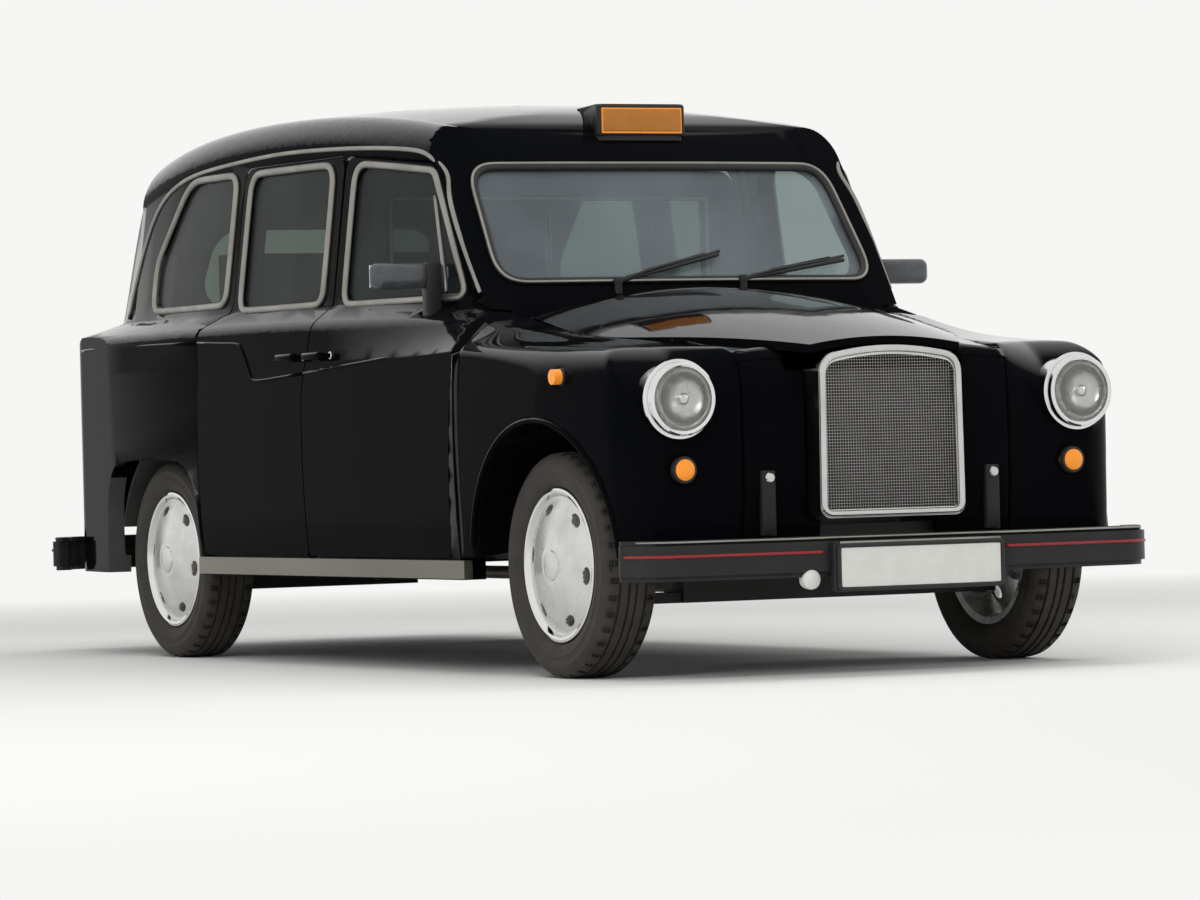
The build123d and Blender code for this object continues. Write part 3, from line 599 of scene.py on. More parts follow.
# Tyres: sidewall rings, grooves round the tread, and cuts across its shoulders.
# shoulder: least radius, and y from and to (m)
tyre = dict(
    half=((221, 61), (229, 74), (243, 82), (256, 85), (262, 87.6), (266, 85.6), (286, 86.2), (291, 87.4),
          (296, 85.6), (307, 81), (317, 73), (322, 66), (324, 56), (324.6, 46), (317, 44.5), (317, 38.5),
          (324.8, 37), (325, 16), (317, 14.5), (317, 8.5), (325, 7)),
    steps=120, shoulder=(0.318, 0.046, 0.07), cutEvery=3, cutDepth=5.0,
)
wheelCentre = {"front": 1.570, "rear": -1.240}
wheelY = 0.711
axleZ = 0.325
half = tyre["half"]
tyreProfile = [(r, -w) for r, w in half] + [(r, w) for r, w in reversed(half)]
leastReach, innerEdge, outerEdge = tyre["shoulder"]
for end, axleX in wheelCentre.items():
    for side, sign in sides.items():
        mesh = spunMesh(f"tyre_{end}_{side}_treaded", tyreProfile, (0, 0, 0), "Y", tyre["steps"])
        bm = opened(mesh)
        shoulder = []
        for face in bm.faces:
            middle = face.calc_center_median()
            step = round(math.atan2(middle.z, middle.x) / (2 * math.pi) * tyre["steps"])
            atEdge = math.hypot(middle.x, middle.z) > leastReach and innerEdge < abs(middle.y) < outerEdge
            if atEdge and step % tyre["cutEvery"] == 0:
                shoulder.append(face)
        for face in bmesh.ops.extrude_discrete_faces(bm, faces=shoulder)["faces"]:
            bmesh.ops.translate(bm, vec=-face.normal * tyre["cutDepth"] * mm, verts=face.verts)
        bmesh.ops.translate(bm, vec=(axleX, sign * wheelY, axleZ), verts=bm.verts)
        written(bm, mesh)
        place(mesh, "tyre_rubber", f"wheel_{end}_{side}", (f"tyre_{end}_{side}",))

# Wheel covers: the pressed dome is the node's, with a bright rim and a centre button
cover = dict(
    rim=((221, 60), (222.5, 68), (221, 74), (214, 76.5), (207, 74), (203, 68), (199, 61)),
    button=((44, 96.5), (42, 100), (34, 103), (0, 104.5)),
)
for end, axleX in wheelCentre.items():
    for side, sign in sides.items():
        centre, body = (axleX, sign * wheelY, axleZ), f"wheel_{end}_{side}"
        addSpun(f"wheel_rim_ring_{end}_{side}", cover["rim"], centre, outward[side], "chrome", body)
        addSpun(f"wheel_button_{end}_{side}", cover["button"], centre, outward[side], "wheel_silver", body,
                steps=48)
print("wheels made")

# Headlamps: a shallow reflector, a bulb shade and a domed lens in a chrome rim
headlamp = dict(
    x=2064, y=655, z=790,
    reflector=((89, 42), (80, 32), (60, 25), (34, 22), (0, 21)),
    shade=((16, 22), (16, 34), (12, 40), (0, 42)),
    rim=((88, 38), (90, 47), (94, 50), (99, 50), (103.5, 46), (105, 38), (105, 24), (112, 21.5), (112.6, 16)),
    lens=((90, 43), (86, 46), (70, 51), (50, 55), (25, 57.5), (0, 58), (0, 55), (25, 54.5), (50, 52),
          (70, 48), (84, 43.5), (90, 41)),
)
lampParts = (("reflector", "reflector", ()), ("shade", "chrome", ()), ("rim", "chrome", ()),
             ("lens", "lamp_glass", ("headlamp_lenses",)))
for side, sign in sides.items():
    centre = inMetres(headlamp["x"], sign * headlamp["y"], headlamp["z"])
    for part, material, swap in lampParts:
        addSpun(f"headlamp_{part}_{side}", headlamp[part], centre, "X", material, "cab", swap)
print("lamps made")

# Grille: woven wires in front of a dark core, in the bright surround
grille = dict(
    half=220, low=458, high=934, faceX=2120, pitch=8.6, wire=2.3, arch=44,
    core=((2094, -210, 462), (2098, 210, 862)),
    lip=((-227, 455, 30), (227, 455, 30), (223, 897, 60), (0, 933, 900), (-223, 897, 60)), lipX=2136.5,
    lipRadius=10.5,
)


def insideGrille(y, z):
    top = grille["high"] - grille["arch"] * (y / grille["half"]) ** 2
    return abs(y) <= grille["half"] and grille["low"] <= z <= top


wide, tall = 2 * grille["half"], grille["high"] - grille["low"]
bm = bmesh.new()
bmesh.ops.create_grid(bm, x_segments=round(wide / grille["pitch"]),
                      y_segments=round(tall / grille["pitch"]), size=0.5)
bmesh.ops.scale(bm, vec=(wide * mm, tall * mm, 1), verts=bm.verts)
for axis in "XZ":
    bmesh.ops.rotate(bm, cent=(0, 0, 0), matrix=Matrix.Rotation(math.pi / 2, 3, axis), verts=bm.verts)
middleZ = (grille["high"] + grille["low"]) / 2
bmesh.ops.translate(bm, vec=inMetres(grille["faceX"], 0, middleZ), verts=bm.verts)
outside = [v for v in bm.verts if not insideGrille(v.co.y / mm, v.co.z / mm)]
bmesh.ops.delete(bm, geom=outside, context="VERTS")
wires = place(meshFrom(bm, "grille_wires"), "grille_grey", "cab", ("grille_mesh",))
weave = wires.modifiers.new("wires", "WIREFRAME")
weave.thickness = grille["wire"] * mm
weave.use_even_offset = False
weave.use_boundary = True
addBlock("grille_core", grille["core"], 1.5, "seal_rubber")
print("grille made")

# Bumpers: a red coachline along both, and a pale strip on the edge above it as a painted highlight
bumper = dict(
    lineZ=352, lineRadius=4.5, paintedHighlightZ=391, paintedHighlightRadius=3.5, lift=1.5, reach=851, step=23, plinthHalf=0.29,
)


# Points along a bumper's face at a height (mm), wherever keep allows their y (m)
def bumperLine(end, height, keep=lambda y: True):
    skin = surfaceOf(f"bumper_{end}")
    points = []
    for index in range(round(2 * bumper["reach"] / bumper["step"]) + 1):
        y = (-bumper["reach"] + index * bumper["step"]) * mm
        start = Vector((ends[end] * farOff, y, height * mm))
        hit, normal, face, distance = skin.ray_cast(start, Vector((-ends[end], 0, 0)))
        if hit is not None and keep(y):
            points.append(hit + normal * bumper["lift"] * mm)
    return points


for side, sign in sides.items():
    line = bumperLine("front", bumper["lineZ"], lambda y: y * sign > bumper["plinthHalf"])
    tube(f"bumper_line_front_{side}", line, bumper["lineRadius"], "coach_red")
# The pale strip along each bumper's top edge is a painted highlight
for end in ends:
    line = bumperLine(end, bumper["paintedHighlightZ"])
    tube(f"bumper_strip_{end}", line, bumper["paintedHighlightRadius"], "frame_trim")
tube("bumper_line_rear", bumperLine("rear", bumper["lineZ"]), bumper["lineRadius"], "coach_red")

# Gutter round the roof and down the windscreen pillar, in x and z (mm)
gutter = dict(
    radius=7.5, lift=0.5,
    line=((946, 1128), (900, 1192), (850, 1264), (792, 1350), (738, 1432), (692, 1500), (640, 1548),
          (560, 1576), (300, 1597), (0, 1611), (-400, 1620), (-800, 1606), (-1100, 1590), (-1290, 1560),
          (-1420, 1514), (-1510, 1450), (-1580, 1370), (-1640, 1280), (-1690, 1190), (-1715, 1135)),
)
for side in sides:
    line = [onSide(side, x, z, gutter["lift"]) for x, z in gutter["line"]]
    tube(f"roof_gutter_{side}", line, gutter["radius"], "frame_trim")

# Swage along the side, stepping down at the rear door: runs in x and z (mm) for each body
swage = dict(
    radius=6.0, lift=-1.0,
    runs=(
        ("cab", ((-1930, 1032), (-1800, 1034), (-1400, 1034), (-826, 1030))),
        ("door_rear", ((-813, 1030), (-640, 1022), (-490, 1019), (-462, 1004), (-388, 906), (-360, 896),
                       (-240, 900), (2, 912))),
        ("door_front", ((16, 913), (400, 934), (760, 952), (1060, 952))),
    ),
)
for side in sides:
    for owner, run in swage["runs"]:
        body = owner if owner == "cab" else f"{owner}_{side}"
        line = [onSide(side, x, z, swage["lift"]) for x, z in run]
        tube(f"swage_{owner}_{side}", line, swage["radius"], "black_paint", body)

# Rubber down the post between each front door and its wing
post = dict(x=1071, surfaceX=1086, inwards=10, radius=9, low=345, high=1030, steps=8)
for side in sides:
    line = []
    for step in range(post["steps"] + 1):
        z = post["low"] + (post["high"] - post["low"]) * step / post["steps"]
        behind = onSide(side, post["surfaceX"], z, -post["inwards"])
        line.append(Vector((post["x"] * mm, behind.y, behind.z)))
    tube(f"post_seal_{side}", line, post["radius"], "seal_rubber")

# Rolled lips round the front wheel arches: centre x and z, radius, and the arc in degrees
arch = dict(lip=9.0, x=1570, z=325, radius=418, first=3, last=172, steps=24, lift=-2.0)
for side in sides:
    line = []
    for step in range(arch["steps"] + 1):
        turn = math.radians(arch["first"] + (arch["last"] - arch["first"]) * step / arch["steps"])
        line.append(onSide(side, arch["x"] + arch["radius"] * math.cos(turn),
                           arch["z"] + arch["radius"] * math.sin(turn), arch["lift"]))
    tube(f"arch_lip_{side}", line, arch["lip"], "black_paint")

# Inner panels beside the wheels, which close the view through the car: y, then x and z (mm)
archPanel = dict(
    thick=4,
    front=(410, ((1130, 300), (2035, 300), (2035, 760), (1600, 800), (1130, 820))),
    rear=(562, ((-1700, 300), (-830, 300), (-830, 700), (-1700, 700))),
)
for end in ends:
    y, outline = archPanel[end]
    for side, sign in sides.items():
        bm = bmesh.new()
        base = bm.faces.new([bm.verts.new(inMetres(x, sign * y, z)) for x, z in outline])
        walls = bmesh.ops.extrude_face_region(bm, geom=[base])
        raised = [part for part in walls["geom"] if isinstance(part, bmesh.types.BMVert)]
        bmesh.ops.translate(bm, vec=(0, sign * archPanel["thick"] * mm, 0), verts=raised)
        faceOut(bm)
        place(meshFrom(bm, f"arch_panel_{end}_{side}"), "floor_rubber")
print("mouldings laid")

# Side door handles: a rounded grip over each bare one, with its push button
handle = dict(
    x={"front": 75, "rear": -125}, length=120, cover=3, reach=(877, 901), z=(952, 976), bevel=9,
    button=((12, 0), (12, 6), (10, 8), (0, 9)), buttonGap=16, buttonZ=964, buttonSink=2,
)
for side, sign in sides.items():
    for door, x in handle["x"].items():
        body, lastX = f"door_{door}_{side}", x + handle["length"]
        (near, far), (low, high) = handle["reach"], handle["z"]
        grip = ((x - handle["cover"], near, low), (lastX + handle["cover"], far, high))
        addBlock(f"door_handle_{door}_{side}", mirrored(grip, sign), handle["bevel"], "black_paint", body,
                 segments=4)
        buttonX = lastX + handle["buttonGap"]
        centre = inMetres(buttonX, 0, handle["buttonZ"])
        centre.y = onSide(side, buttonX, handle["buttonZ"], -handle["buttonSink"]).y
        addSpun(f"door_button_{door}_{side}", handle["button"], centre, outward[side], "chrome", body,
                steps=32)

# Indicators and side repeaters: an amber dome in a dark bezel
indicator = dict(
    x=2064, y=640, z=591, repeaterAt=(1731, 863),
    lens=((31, 14), (30, 20), (24, 25), (12, 28), (0, 29)),
    bezel=((30, 10), (30, 18), (33, 19.5), (37, 18), (39, 13), (39.5, 4)),
    repeaterLens=((19, 4), (18, 10), (12, 14), (0, 15)),
    repeaterBezel=((18, 2), (19, 9), (22, 9.5), (25, 6), (25.5, -1)),
)
for side, sign in sides.items():
    front = inMetres(indicator["x"], sign * indicator["y"], indicator["z"])
    flank = onSide(side, *indicator["repeaterAt"])
    for part, material in (("lens", "amber_lens"), ("bezel", "seal_rubber")):
        addSpun(f"indicator_{part}_{side}", indicator[part], front, "X", material, steps=48)
    for part, material in (("repeaterLens", "amber_lens"), ("repeaterBezel", "seal_rubber")):
        addSpun(f"{part}_{side}", indicator[part], flank, outward[side], material, steps=40)

# Front plate: a dark rounded surround with a bright lip, its plinth, and the towing cap
plate = dict(
    rim=((-268, 246, 16), (268, 246, 16), (268, 369, 16), (-268, 369, 16)), rimX=2283.5, rimRadius=6.5,
    lip=((-262, 376.5), (-90, 376.5), (90, 376.5), (262, 376.5)), lipX=2281, lipRadius=4.5,
    plinth=((2246, -279, 239), (2280, 279, 380)), bevel=12,
    cap=((26, -20), (28, 0), (27, 8), (20, 13), (0, 15)), capAt=(2248, -340, 276),
)
tube("plate_surround", atX(plate["rimX"], roundedOutline(plate["rim"])), plate["rimRadius"],
     "seal_rubber", closed=True)
tube("plate_top_lip", atX(plate["lipX"], plate["lip"]), plate["lipRadius"], "frame_trim")
addBlock("plate_plinth", plate["plinth"], plate["bevel"], "bumper_black", segments=4)
addSpun("towing_cap", plate["cap"], inMetres(*plate["capAt"]), "X", "plate_white", steps=48)

# Flanges that close the nose between the bonnet's edge and the wings, and the strips beside the grille.
# heights: x, z, the y it is taken at and its fall per mm outwards; bonnetEdge: x and y
nose = dict(
    rear=1700, front=2064, outer=445, gap=9, thickness=2.5, lift=6, grid=(24, 8),
    heights=((1500, 996, 400, 0.147), (2064, 930, 180, 0.1)), bonnetEdge=((1430, 604), (2109, 246)),
    strip=((2052, 346, 398), (2077, 392, 584)), stripBevel=7,
    stud=((15, 8), (15, 13), (12, 17), (6, 19), (0, 19.5)), studAt=(2070, 369, 563),
)


def flangeHeight(x, y):
    (rearX, rearZ, rearY, rearFall), (frontX, frontZ, frontY, frontFall) = nose["heights"]
    behind = rearZ - (y - rearY) * rearFall
    ahead = frontZ - (y - frontY) * frontFall
    return behind + (ahead - behind) * (x - rearX) / (frontX - rearX) + nose["lift"]


browAt, browRadius = wing["brow"], wing["browRadius"][0][1]
(edgeX, edgeY), (tipX, tipY) = nose["bonnetEdge"]
for side, sign in sides.items():
    bm = bmesh.new()
    bmesh.ops.create_grid(bm, x_segments=nose["grid"][0], y_segments=nose["grid"][1], size=0.5)
    for vert in bm.verts:
        x = nose["rear"] + (nose["front"] - nose["rear"]) * (vert.co.x + 0.5)
        edge = edgeY + (tipY - edgeY) * (x - edgeX) / (tipX - edgeX) + nose["gap"]
        y = edge + (nose["outer"] - edge) * (vert.co.y + 0.5)
        z = flangeHeight(x, y)
        if x > browAt[0] - browRadius:
            x, z = rounded(x, z, *browAt, browRadius)
        vert.co = inMetres(x, sign * y, z)
    faceOut(bm)
    flange = place(meshFrom(bm, f"nose_flange_{side}", smoothAngle=60), "black_paint")
    sheet = flange.modifiers.new("sheet", "SOLIDIFY")
    sheet.thickness = nose["thickness"] * mm
    sheet.offset = 0
    strip = mirrored(nose["strip"], sign)
    addBlock(f"nose_strip_{side}", strip, nose["stripBevel"], "bumper_black", segments=4)
for side, sign in sides.items():
    x, y, z = nose["studAt"]
    addSpun(f"strut_stud_{side}", nose["stud"], inMetres(x, sign * y, z), "X", "grey_chrome", steps=32)
tube("grille_lip", atX(grille["lipX"], roundedOutline(grille["lip"], perCorner=7)),
     grille["lipRadius"], "grey_chrome", closed=True)

# Screens: a seal with a bright edge round the windscreen and a seal round the rear window.
# rings: how far out from the corners, radius, lift and finish
screens = dict(
    step=60,
    front=((-632, 1166, 70), (-604, 1508, 80), (604, 1508, 80), (632, 1166, 70)),
    rings=(("seal", 6, 12, 0, "seal_rubber"), ("edge", 13, 5, 9, "frame_trim")),
    rear=((-470, 1170, 90), (-420, 1440, 120), (420, 1440, 120), (470, 1170, 90)), rearGrow=4, rearRadius=11,
)
screenSkin = {"front": surfaceOf("body_shell", "windscreen"), "rear": surfaceOf("body_shell", "rear_window")}


# The point at y and z (mm) on a screen or its surround, lifted off it (mm)
def onScreen(y, z, lift=0.0, end="front"):
    start = Vector((ends[end] * farOff, y * mm, z * mm))
    hit, normal, index, distance = screenSkin[end].ray_cast(start, Vector((-ends[end], 0, 0)))
    return hit + normal * lift * mm


# A closed outline round a screen, with points added wherever two are further apart than the step
def screenOutline(end, grow):
    outline = roundedOutline(screens[end], grow, perCorner=7)
    points = []
    for (u, v), (nextU, nextV) in zip(outline, outline[1:] + outline[:1]):
        count = math.ceil(math.hypot(nextU - u, nextV - v) / screens["step"])
        points += [(u + (nextU - u) * step / count, v + (nextV - v) * step / count) for step in range(count)]
    return points


for label, grow, radius, lift, material in screens["rings"]:
    line = [onScreen(u, v, lift) for u, v in screenOutline("front", grow)]
    tube(f"windscreen_{label}", line, radius, material, closed=True)
line = [onScreen(u, v, end="rear") for u, v in screenOutline("rear", screens["rearGrow"])]
tube("rear_window_seal", line, screens["rearRadius"], "seal_rubber", closed=True)

# Vent bar in each front door window, in x and z (mm)
vent = dict(line=((760, 1138), (728, 1240), (694, 1340), (664, 1430)), lift=1, radius=8)
for side in sides:
    line = [onSide(side, x, z, vent["lift"], panes) for x, z in vent["line"]]
    tube(f"vent_bar_{side}", line, vent["radius"], "frame_trim", f"door_front_{side}")

# Wipers: an arm from its pivot, a bridge and a rubber blade on the glass.
# runs: foot y and z, tip y and z (mm); blade, bridge: shares of the run, height, lift and radius
wiper = dict(
    runs=(("right", -273, 1139, 97, 1236), ("left", 155, 1144, 543, 1217)),
    footX=1006, footRise=16, bend=(6, 0, 4), middle=(6, 22), tipLift=12, armRadius=5, slope=0.86,
    blade=((0.12, 0.35, 0.6, 0.85, 1.06), 18, 5, 4.5), bridge=((0.3, 0.6, 0.9), 20, 11, 3),
    boss=((13, -8), (15, 4), (12, 12), (0, 14)),
)
for label, footY, footZ, tipY, tipZ in wiper["runs"]:
    rise, lift = wiper["middle"]
    foot = inMetres(wiper["footX"], footY, footZ + wiper["footRise"])
    middle = onScreen((footY + tipY) / 2, (footZ + tipZ) / 2 + rise, lift)
    bend = (foot + middle) / 2 + inMetres(*wiper["bend"])
    line = [foot, bend, middle, onScreen(tipY, tipZ, wiper["tipLift"])]
    tube(f"wiper_arm_{label}", line, wiper["armRadius"], "bumper_black")
    for part, material in (("blade", "seal_rubber"), ("bridge", "bumper_black")):
        shares, height, lift, radius = wiper[part]
        line = [onScreen(footY + (tipY - footY) * share,
                         footZ + height + (tipZ - footZ) * share * wiper["slope"], lift) for share in shares]
        tube(f"wiper_{part}_{label}", line, radius, material)
    addSpun(f"wiper_boss_{label}", wiper["boss"], foot, "Z", "bumper_black", steps=32)

# Mirrors: a rounded head on an upright block at the door's corner, with its glass behind
mirror = dict(
    head=((714, 772, 1146), (764, 968, 1229)), block=((718, 737, 1062), (760, 790, 1227)),
    glass=((712, 790, 1154), (716, 958, 1221)), frontShare=0.86,
)


def mirrorTaper(bm):
    for vert in bm.verts:
        if vert.co.x > 0:
            vert.co.y *= mirror["frontShare"]
            vert.co.z *= mirror["frontShare"]


for side, sign in sides.items():
    body, swap = f"door_front_{side}", (f"mirror_{side}",)
    head, block, glass = (mirrored(mirror[part], sign) for part in ("head", "block", "glass"))
    addBlock(f"mirror_head_{side}", head, 22, "mirror_shell", body, swap, segments=6, taper=mirrorTaper)
    addBlock(f"mirror_block_{side}", block, 9, "bumper_black", body, swap, segments=4)
    addBlock(f"mirror_glass_{side}", glass, 1.5, "mirror_glass", body)
print("outside fittings made")

# Roof sign: a rounded hood whose mouth is set in, and the amber lens in it
roofSign = dict(
    rim=((646, -152, 1612), (668, 152, 1712)), rimBevel=10, mouthArea=0.005, inset=10, depth=-6,
    face=((661, -136, 1626), (672, 136, 1698)), faceBevel=5,
)
signHood = blockMesh("roof_sign_rim", roofSign["rim"], roofSign["rimBevel"], segments=4)
bm = opened(signHood)
mouth = [face for face in bm.faces if face.normal.x > 0.9 and face.calc_area() > roofSign["mouthArea"]]
bmesh.ops.inset_region(bm, faces=mouth, thickness=roofSign["inset"] * mm, depth=roofSign["depth"] * mm)
written(bm, signHood)
place(signHood, "bumper_black")
addBlock("roof_sign_face", roofSign["face"], roofSign["faceBevel"], "sign_lens", "cab", ("roof_sign_lens",),
         segments=4)
print("roof sign made")

# Rear: lamps, boot handle, number plate lamp and fuel cap
tail = dict(
    bezel=((-2188, 606, 634), (-2100, 704, 866)), bezelBevel=10, lensX=(-2200, -2176), lensY=(614, 696),
    lenses=(("stop", 726, 858, "red_lens"), ("turn", 642, 718, "amber_lens")), lensBevel=8,
    handle=((-2150, -70, 905), (-2195, -60, 905), (-2200, 0, 905), (-2195, 60, 905), (-2150, 70, 905)),
    handleRadius=8, plateLamp=((-2205, -60, 500), (-2165, 60, 522)), plateLampBevel=7,
    fuelCap=((34, -8), (34, 8), (30, 12), (12, 13), (10, 17), (0, 17)), fuelCapAt=(-1650, 960),
)
for side, sign in sides.items():
    addBlock(f"tail_bezel_{side}", mirrored(tail["bezel"], sign), tail["bezelBevel"], "chrome")
    (rearX, frontX), (near, far) = tail["lensX"], tail["lensY"]
    for label, low, high, material in tail["lenses"]:
        corners = mirrored(((rearX, near, low), (frontX, far, high)), sign)
        addBlock(f"tail_{label}_{side}", corners, tail["lensBevel"], material, segments=4)
line = [inMetres(*point) for point in tail["handle"]]
tube("boot_handle", line, tail["handleRadius"], "chrome", "boot_lid")
addBlock("plate_lamp", tail["plateLamp"], tail["plateLampBevel"], "chrome")
addSpun("fuel_cap", tail["fuelCap"], onSide("left", *tail["fuelCapAt"]), "Y", "chrome", steps=48)
print("rear fittings made")

# Cushions: a rounded block blown up as cloth, held where it rests, with grooves pressed in afterwards
cushion = dict(
    shrink=9, bevel=34, voxel=15, held=12, pressure=4.0, cap=13, frames=20,
    grooveWidth=9, grooveDepth=8, facing=0.6, smoothing=0.5,
)


# Blows the piece up by a short cloth run and moves each point along by no more than the cap
def inflate(piece, held):
    group = piece.vertex_groups.new(name="held")
    group.add(held, 1.0, "REPLACE")
    cloth = piece.modifiers.new("cloth", "CLOTH")
    cloth.settings.use_pressure = True
    cloth.settings.uniform_pressure_force = cushion["pressure"]
    cloth.settings.effector_weights.gravity = 0
    cloth.settings.vertex_group_mass = "held"
    for step in range(1, cushion["frames"] + 1):
        bpy.context.scene.frame_set(step)
    depsgraph = bpy.context.evaluated_depsgraph_get()
    blown = [vert.co.copy() for vert in piece.evaluated_get(depsgraph).data.vertices]
    piece.modifiers.clear()
    piece.vertex_groups.clear()
    bpy.context.scene.frame_set(1)
    for vert, last in zip(piece.data.vertices, blown):
        move = last - vert.co
        if move.length > cushion["cap"] * mm:
            move = move.normalized() * cushion["cap"] * mm
        vert.co += move


# Rest: the axis on whose low side the cushion lies and is held; channels: y of each groove
def pad(name, low, high, body, swaps, rest, channels=()):
    inner = cushion["shrink"]
    corners = [v + inner for v in low], [v - inner for v in high]
    piece = linked(name, blockMesh(name + "_start", corners, cushion["bevel"], segments=4))
    remesh = piece.modifiers.new("remesh", "REMESH")
    remesh.mode = "VOXEL"
    remesh.voxel_size = cushion["voxel"] * mm
    mesh = evaluatedMesh(piece)
    piece.modifiers.clear()
    piece.data = mesh
    edge = (low[rest] + inner) * mm
    held = [vert.index for vert in mesh.vertices if abs(vert.co[rest] - edge) < cushion["held"] * mm]
    inflate(piece, held)
    bm = opened(mesh)
    bm.normal_update()
    for vert in bm.verts:
        groove = sum(math.exp(-((vert.co.y / mm - y) / cushion["grooveWidth"]) ** 2) for y in channels)
        outer = vert.co[rest] / mm > (low[rest] + high[rest]) / 2
        if outer and abs(vert.normal[rest]) > cushion["facing"]:
            vert.co -= vert.normal * min(groove, 1) * cushion["grooveDepth"] * mm
    smoothVerts(bm, cushion["smoothing"])
    faceOut(bm)
    written(bm, mesh)
    mesh.name = name
    for face in mesh.polygons:
        face.use_smooth = True
    mesh.materials.clear()
    mesh.materials.append(finish["seat_trim"])
    soften = piece.modifiers.new("soften", "SUBSURF")
    soften.levels = soften.render_levels = 1
    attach(piece, body)
    if swaps:
        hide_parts(*swaps)


driver, bench = ("driver_seat",), ("rear_seat",)
driverChannels, benchChannels = (-500, -435, -370, -305, -240), tuple(range(-480, 481, 120))
pad("driver_cushion", (120, -600, 600), (620, -140, 722), "cab", driver, 2, driverChannels)
pad("driver_backrest", (62, -590, 724), (196, -150, 1190), "cab", driver, 0, driverChannels)
pad("driver_headrest", (80, -480, 1225), (170, -260, 1385), "cab", (), 0)
pad("bench_cushion", (-1150, -590, 690), (-620, 590, 862), "cab", bench, 2, benchChannels)
pad("bench_backrest", (-1246, -590, 866), (-1104, 590, 1328), "cab", bench, 0, benchChannels)
seat = dict(bevel=6, posts=(-415, -325), postX=125, postZ=(1170, 1200, 1260), postRadius=6)
for name, low, high, material, swaps in (
        ("driver_seat_box", (150, -560, 452), (590, -180, 606), "column_black", driver),
        ("driver_seat_pan", (120, -595, 566), (618, -145, 604), "column_black", driver),
        ("driver_seat_shell", (52, -585, 720), (72, -155, 1180), "dash_grey", driver),
        ("bench_box", (-1120, -300, 452), (-660, 300, 664), "dash_grey", bench),
        ("bench_pan", (-1150, -585, 660), (-624, 585, 694), "dash_grey", bench),
        ("bench_back_board", (-1258, -585, 862), (-1242, 585, 1322), "dash_grey", bench)):
    addBlock(name, (low, high), seat["bevel"], material, "cab", swaps)
for y in seat["posts"]:
    line = [inMetres(seat["postX"], y, z) for z in seat["postZ"]]
    tube(f"headrest_post_{-y}", line, seat["postRadius"], "chrome")
print("seats made")

# Instruments, dash top, the partition's glass with its bright frame, and the doors' pulls
dash = dict(
    hood=((826, -566, 978), (956, -174, 1072)), hoodBevel=22, roll=((818, -618, 930), (900, 618, 992)),
    rollBevel=26, dials=(-450, -370, -290), dialX=826, dialZ=1025,
    dial=((0, -2), (26, -2), (30, -1), (34, 6), (38, 4), (39, -4)),
)
addBlock("instrument_hood", dash["hood"], dash["hoodBevel"], "dash_grey", segments=4)
addBlock("dash_roll", dash["roll"], dash["rollBevel"], "dash_pale", segments=5)
for index, y in enumerate(dash["dials"]):
    centre = inMetres(dash["dialX"], y, dash["dialZ"])
    addSpun(f"dial_{index + 1}", dash["dial"], centre, "-X", "chrome", steps=40)
partition = dict(
    glass=((4, -566, 1074), (10, 566, 1456)), glassBevel=2, grow=4, frameX=34, frameRadius=9,
    frame=((-560, 1080, 20), (560, 1080, 20), (560, 1450, 20), (-560, 1450, 20)),
    slides=(0, 14), slideZ=(1080, 1260, 1450), slideRadius=6,
)
addBlock("partition_glass", partition["glass"], partition["glassBevel"], "window_glass")
frameLine = atX(partition["frameX"], roundedOutline(partition["frame"], partition["grow"]))
tube("partition_frame", frameLine, partition["frameRadius"], "frame_trim", closed=True)
for y in partition["slides"]:
    line = [inMetres(0, y, z) for z in partition["slideZ"]]
    tube(f"partition_slide_{y}", line, partition["slideRadius"], "frame_trim")
pull = dict(x=(("front", 260, 420), ("rear", -480, -320)), foot=812, grip=775, bend=12, z=860, radius=9)
for side, sign in sides.items():
    for door, first, last in pull["x"]:
        foot, grip, bend = pull["foot"], pull["grip"], pull["bend"]
        corners = ((first, foot), (first + bend, grip), (last - bend, grip), (last, foot))
        line = [inMetres(x, sign * y, pull["z"]) for x, y in corners]
        tube(f"door_pull_{door}_{side}", line, pull["radius"], "column_black", f"door_{door}_{side}")
print("inside made")


# Studio: a pale floor that keeps the shadow near the car and runs into the background far out
studio = dict(floorSize=60, floorColour=(0.8, 0.8, 0.79), floorRoughness=0.9, background=(0.92, 0.92, 0.91),
              skyLight=0.38, shadowReach=(4.5, 9.0))
bm = bmesh.new()
bmesh.ops.create_grid(bm, x_segments=1, y_segments=1, size=studio["floorSize"])
floor = linked("floor", meshFrom(bm, "floor"))
floorMaterial, tree, shader = newMaterial("floor_pale")
shader.inputs["Base Color"].default_value = (*studio["floorColour"], 1)
shader.inputs["Roughness"].default_value = studio["floorRoughness"]
away = node(tree, "VectorMath", operation="LENGTH")
link(objectCoords(tree), away.inputs[0])
far = spread(tree, away.outputs["Value"], 0.0, 1.0, *studio["shadowReach"])
glow = node(tree, "Emission", Color=(*studio["background"], 1))
fading = mixShaders(tree, far, shader, glow)
link(fading.outputs[0], tree.nodes["Material Output"].inputs["Surface"])
floor.data.materials.append(floorMaterial)


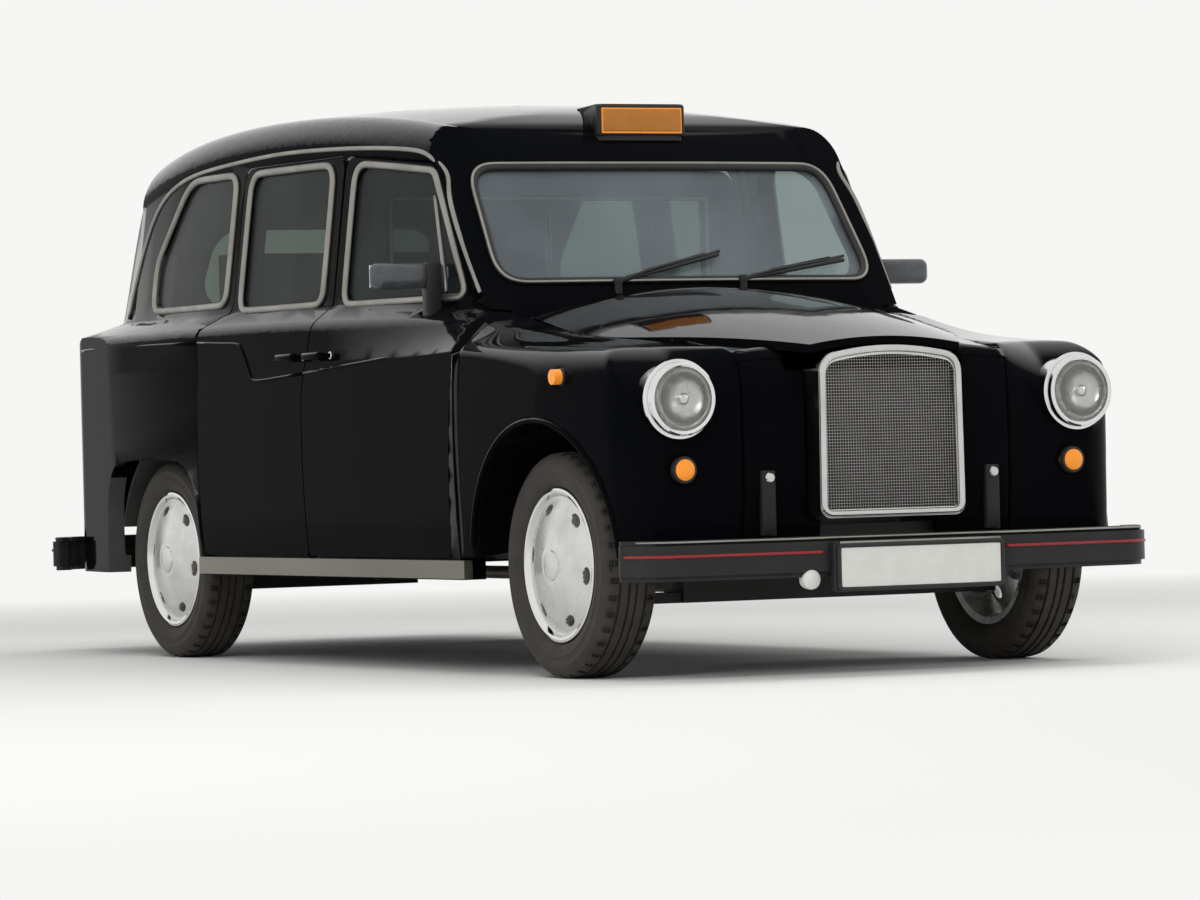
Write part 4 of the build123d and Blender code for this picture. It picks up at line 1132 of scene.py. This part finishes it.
# Places in metres and power in watts; the lamps themselves don't show in paint and glass
def softBox(name, position, aim, size, power):
    lamp = bpy.data.lights.new(name, "AREA")
    lamp.shape = "RECTANGLE"
    lamp.size, lamp.size_y = size
    lamp.energy = power
    holder = linked(name, lamp)
    holder.location = position
    holder.rotation_euler = (Vector(aim) - Vector(position)).to_track_quat("-Z", "Y").to_euler()
    holder.visible_glossy = False


softBox("overhead", (0.5, 0.0, 7.0), (0, 0, 0), (11, 8), 430)
softBox("key", (7.0, -6.0, 5.0), (0.5, 0, 0.8), (5, 3), 300)
softBox("fill", (4.0, 7.0, 4.0), (0.5, 0, 0.8), (4, 3), 130)

# The world lights the car softly; what the camera, metal and glass see of it is the pale background
world = bpy.data.worlds.new("studio")
bpy.context.scene.world = world
world.use_nodes = True
tree = world.node_tree
background = tree.nodes["Background"]
background.inputs["Color"].default_value = (*studio["background"], 1)
path = node(tree, "LightPath")
shown = path.outputs["Is Camera Ray"]
for ray in ("Is Glossy Ray", "Is Transmission Ray"):
    either = node(tree, "Math", operation="MAXIMUM")
    link(shown, either.inputs[0])
    link(path.outputs[ray], either.inputs[1])
    shown = either.outputs[0]
strength = node(tree, "Mix")
strength.inputs[2].default_value = studio["skyLight"]
strength.inputs[3].default_value = 1.0
link(shown, strength.inputs[0])
link(strength.outputs[0], background.inputs["Strength"])

# Camera, solved from the photograph: metres and degrees, lens and sensor in mm
cameraView = dict(position=(15.8739, -8.0636, 0.6648), yaw=27.425, pitch=0.043, roll=-1.447, lens=168.0,
                  sensor=36, clipEnd=200)
yaw, pitch, roll = (math.radians(cameraView[key]) for key in ("yaw", "pitch", "roll"))
forward = Vector((-math.cos(yaw) * math.cos(pitch), math.sin(yaw) * math.cos(pitch), -math.sin(pitch)))
levelRight = forward.cross(Vector((0, 0, 1))).normalized()
levelUp = levelRight.cross(forward)
right = levelRight * math.cos(roll) + levelUp * math.sin(roll)
up = levelUp * math.cos(roll) - levelRight * math.sin(roll)
cameraData = bpy.data.cameras.new("camera")
cameraData.lens = cameraView["lens"]
cameraData.sensor_width = cameraView["sensor"]
cameraData.clip_end = cameraView["clipEnd"]
camera = linked("camera", cameraData)
turn = Matrix((right, up, -forward)).transposed().to_4x4()
camera.matrix_world = Matrix.Translation(cameraView["position"]) @ turn
bpy.context.scene.camera = camera
bpy.context.scene.view_settings.view_transform = "Standard"
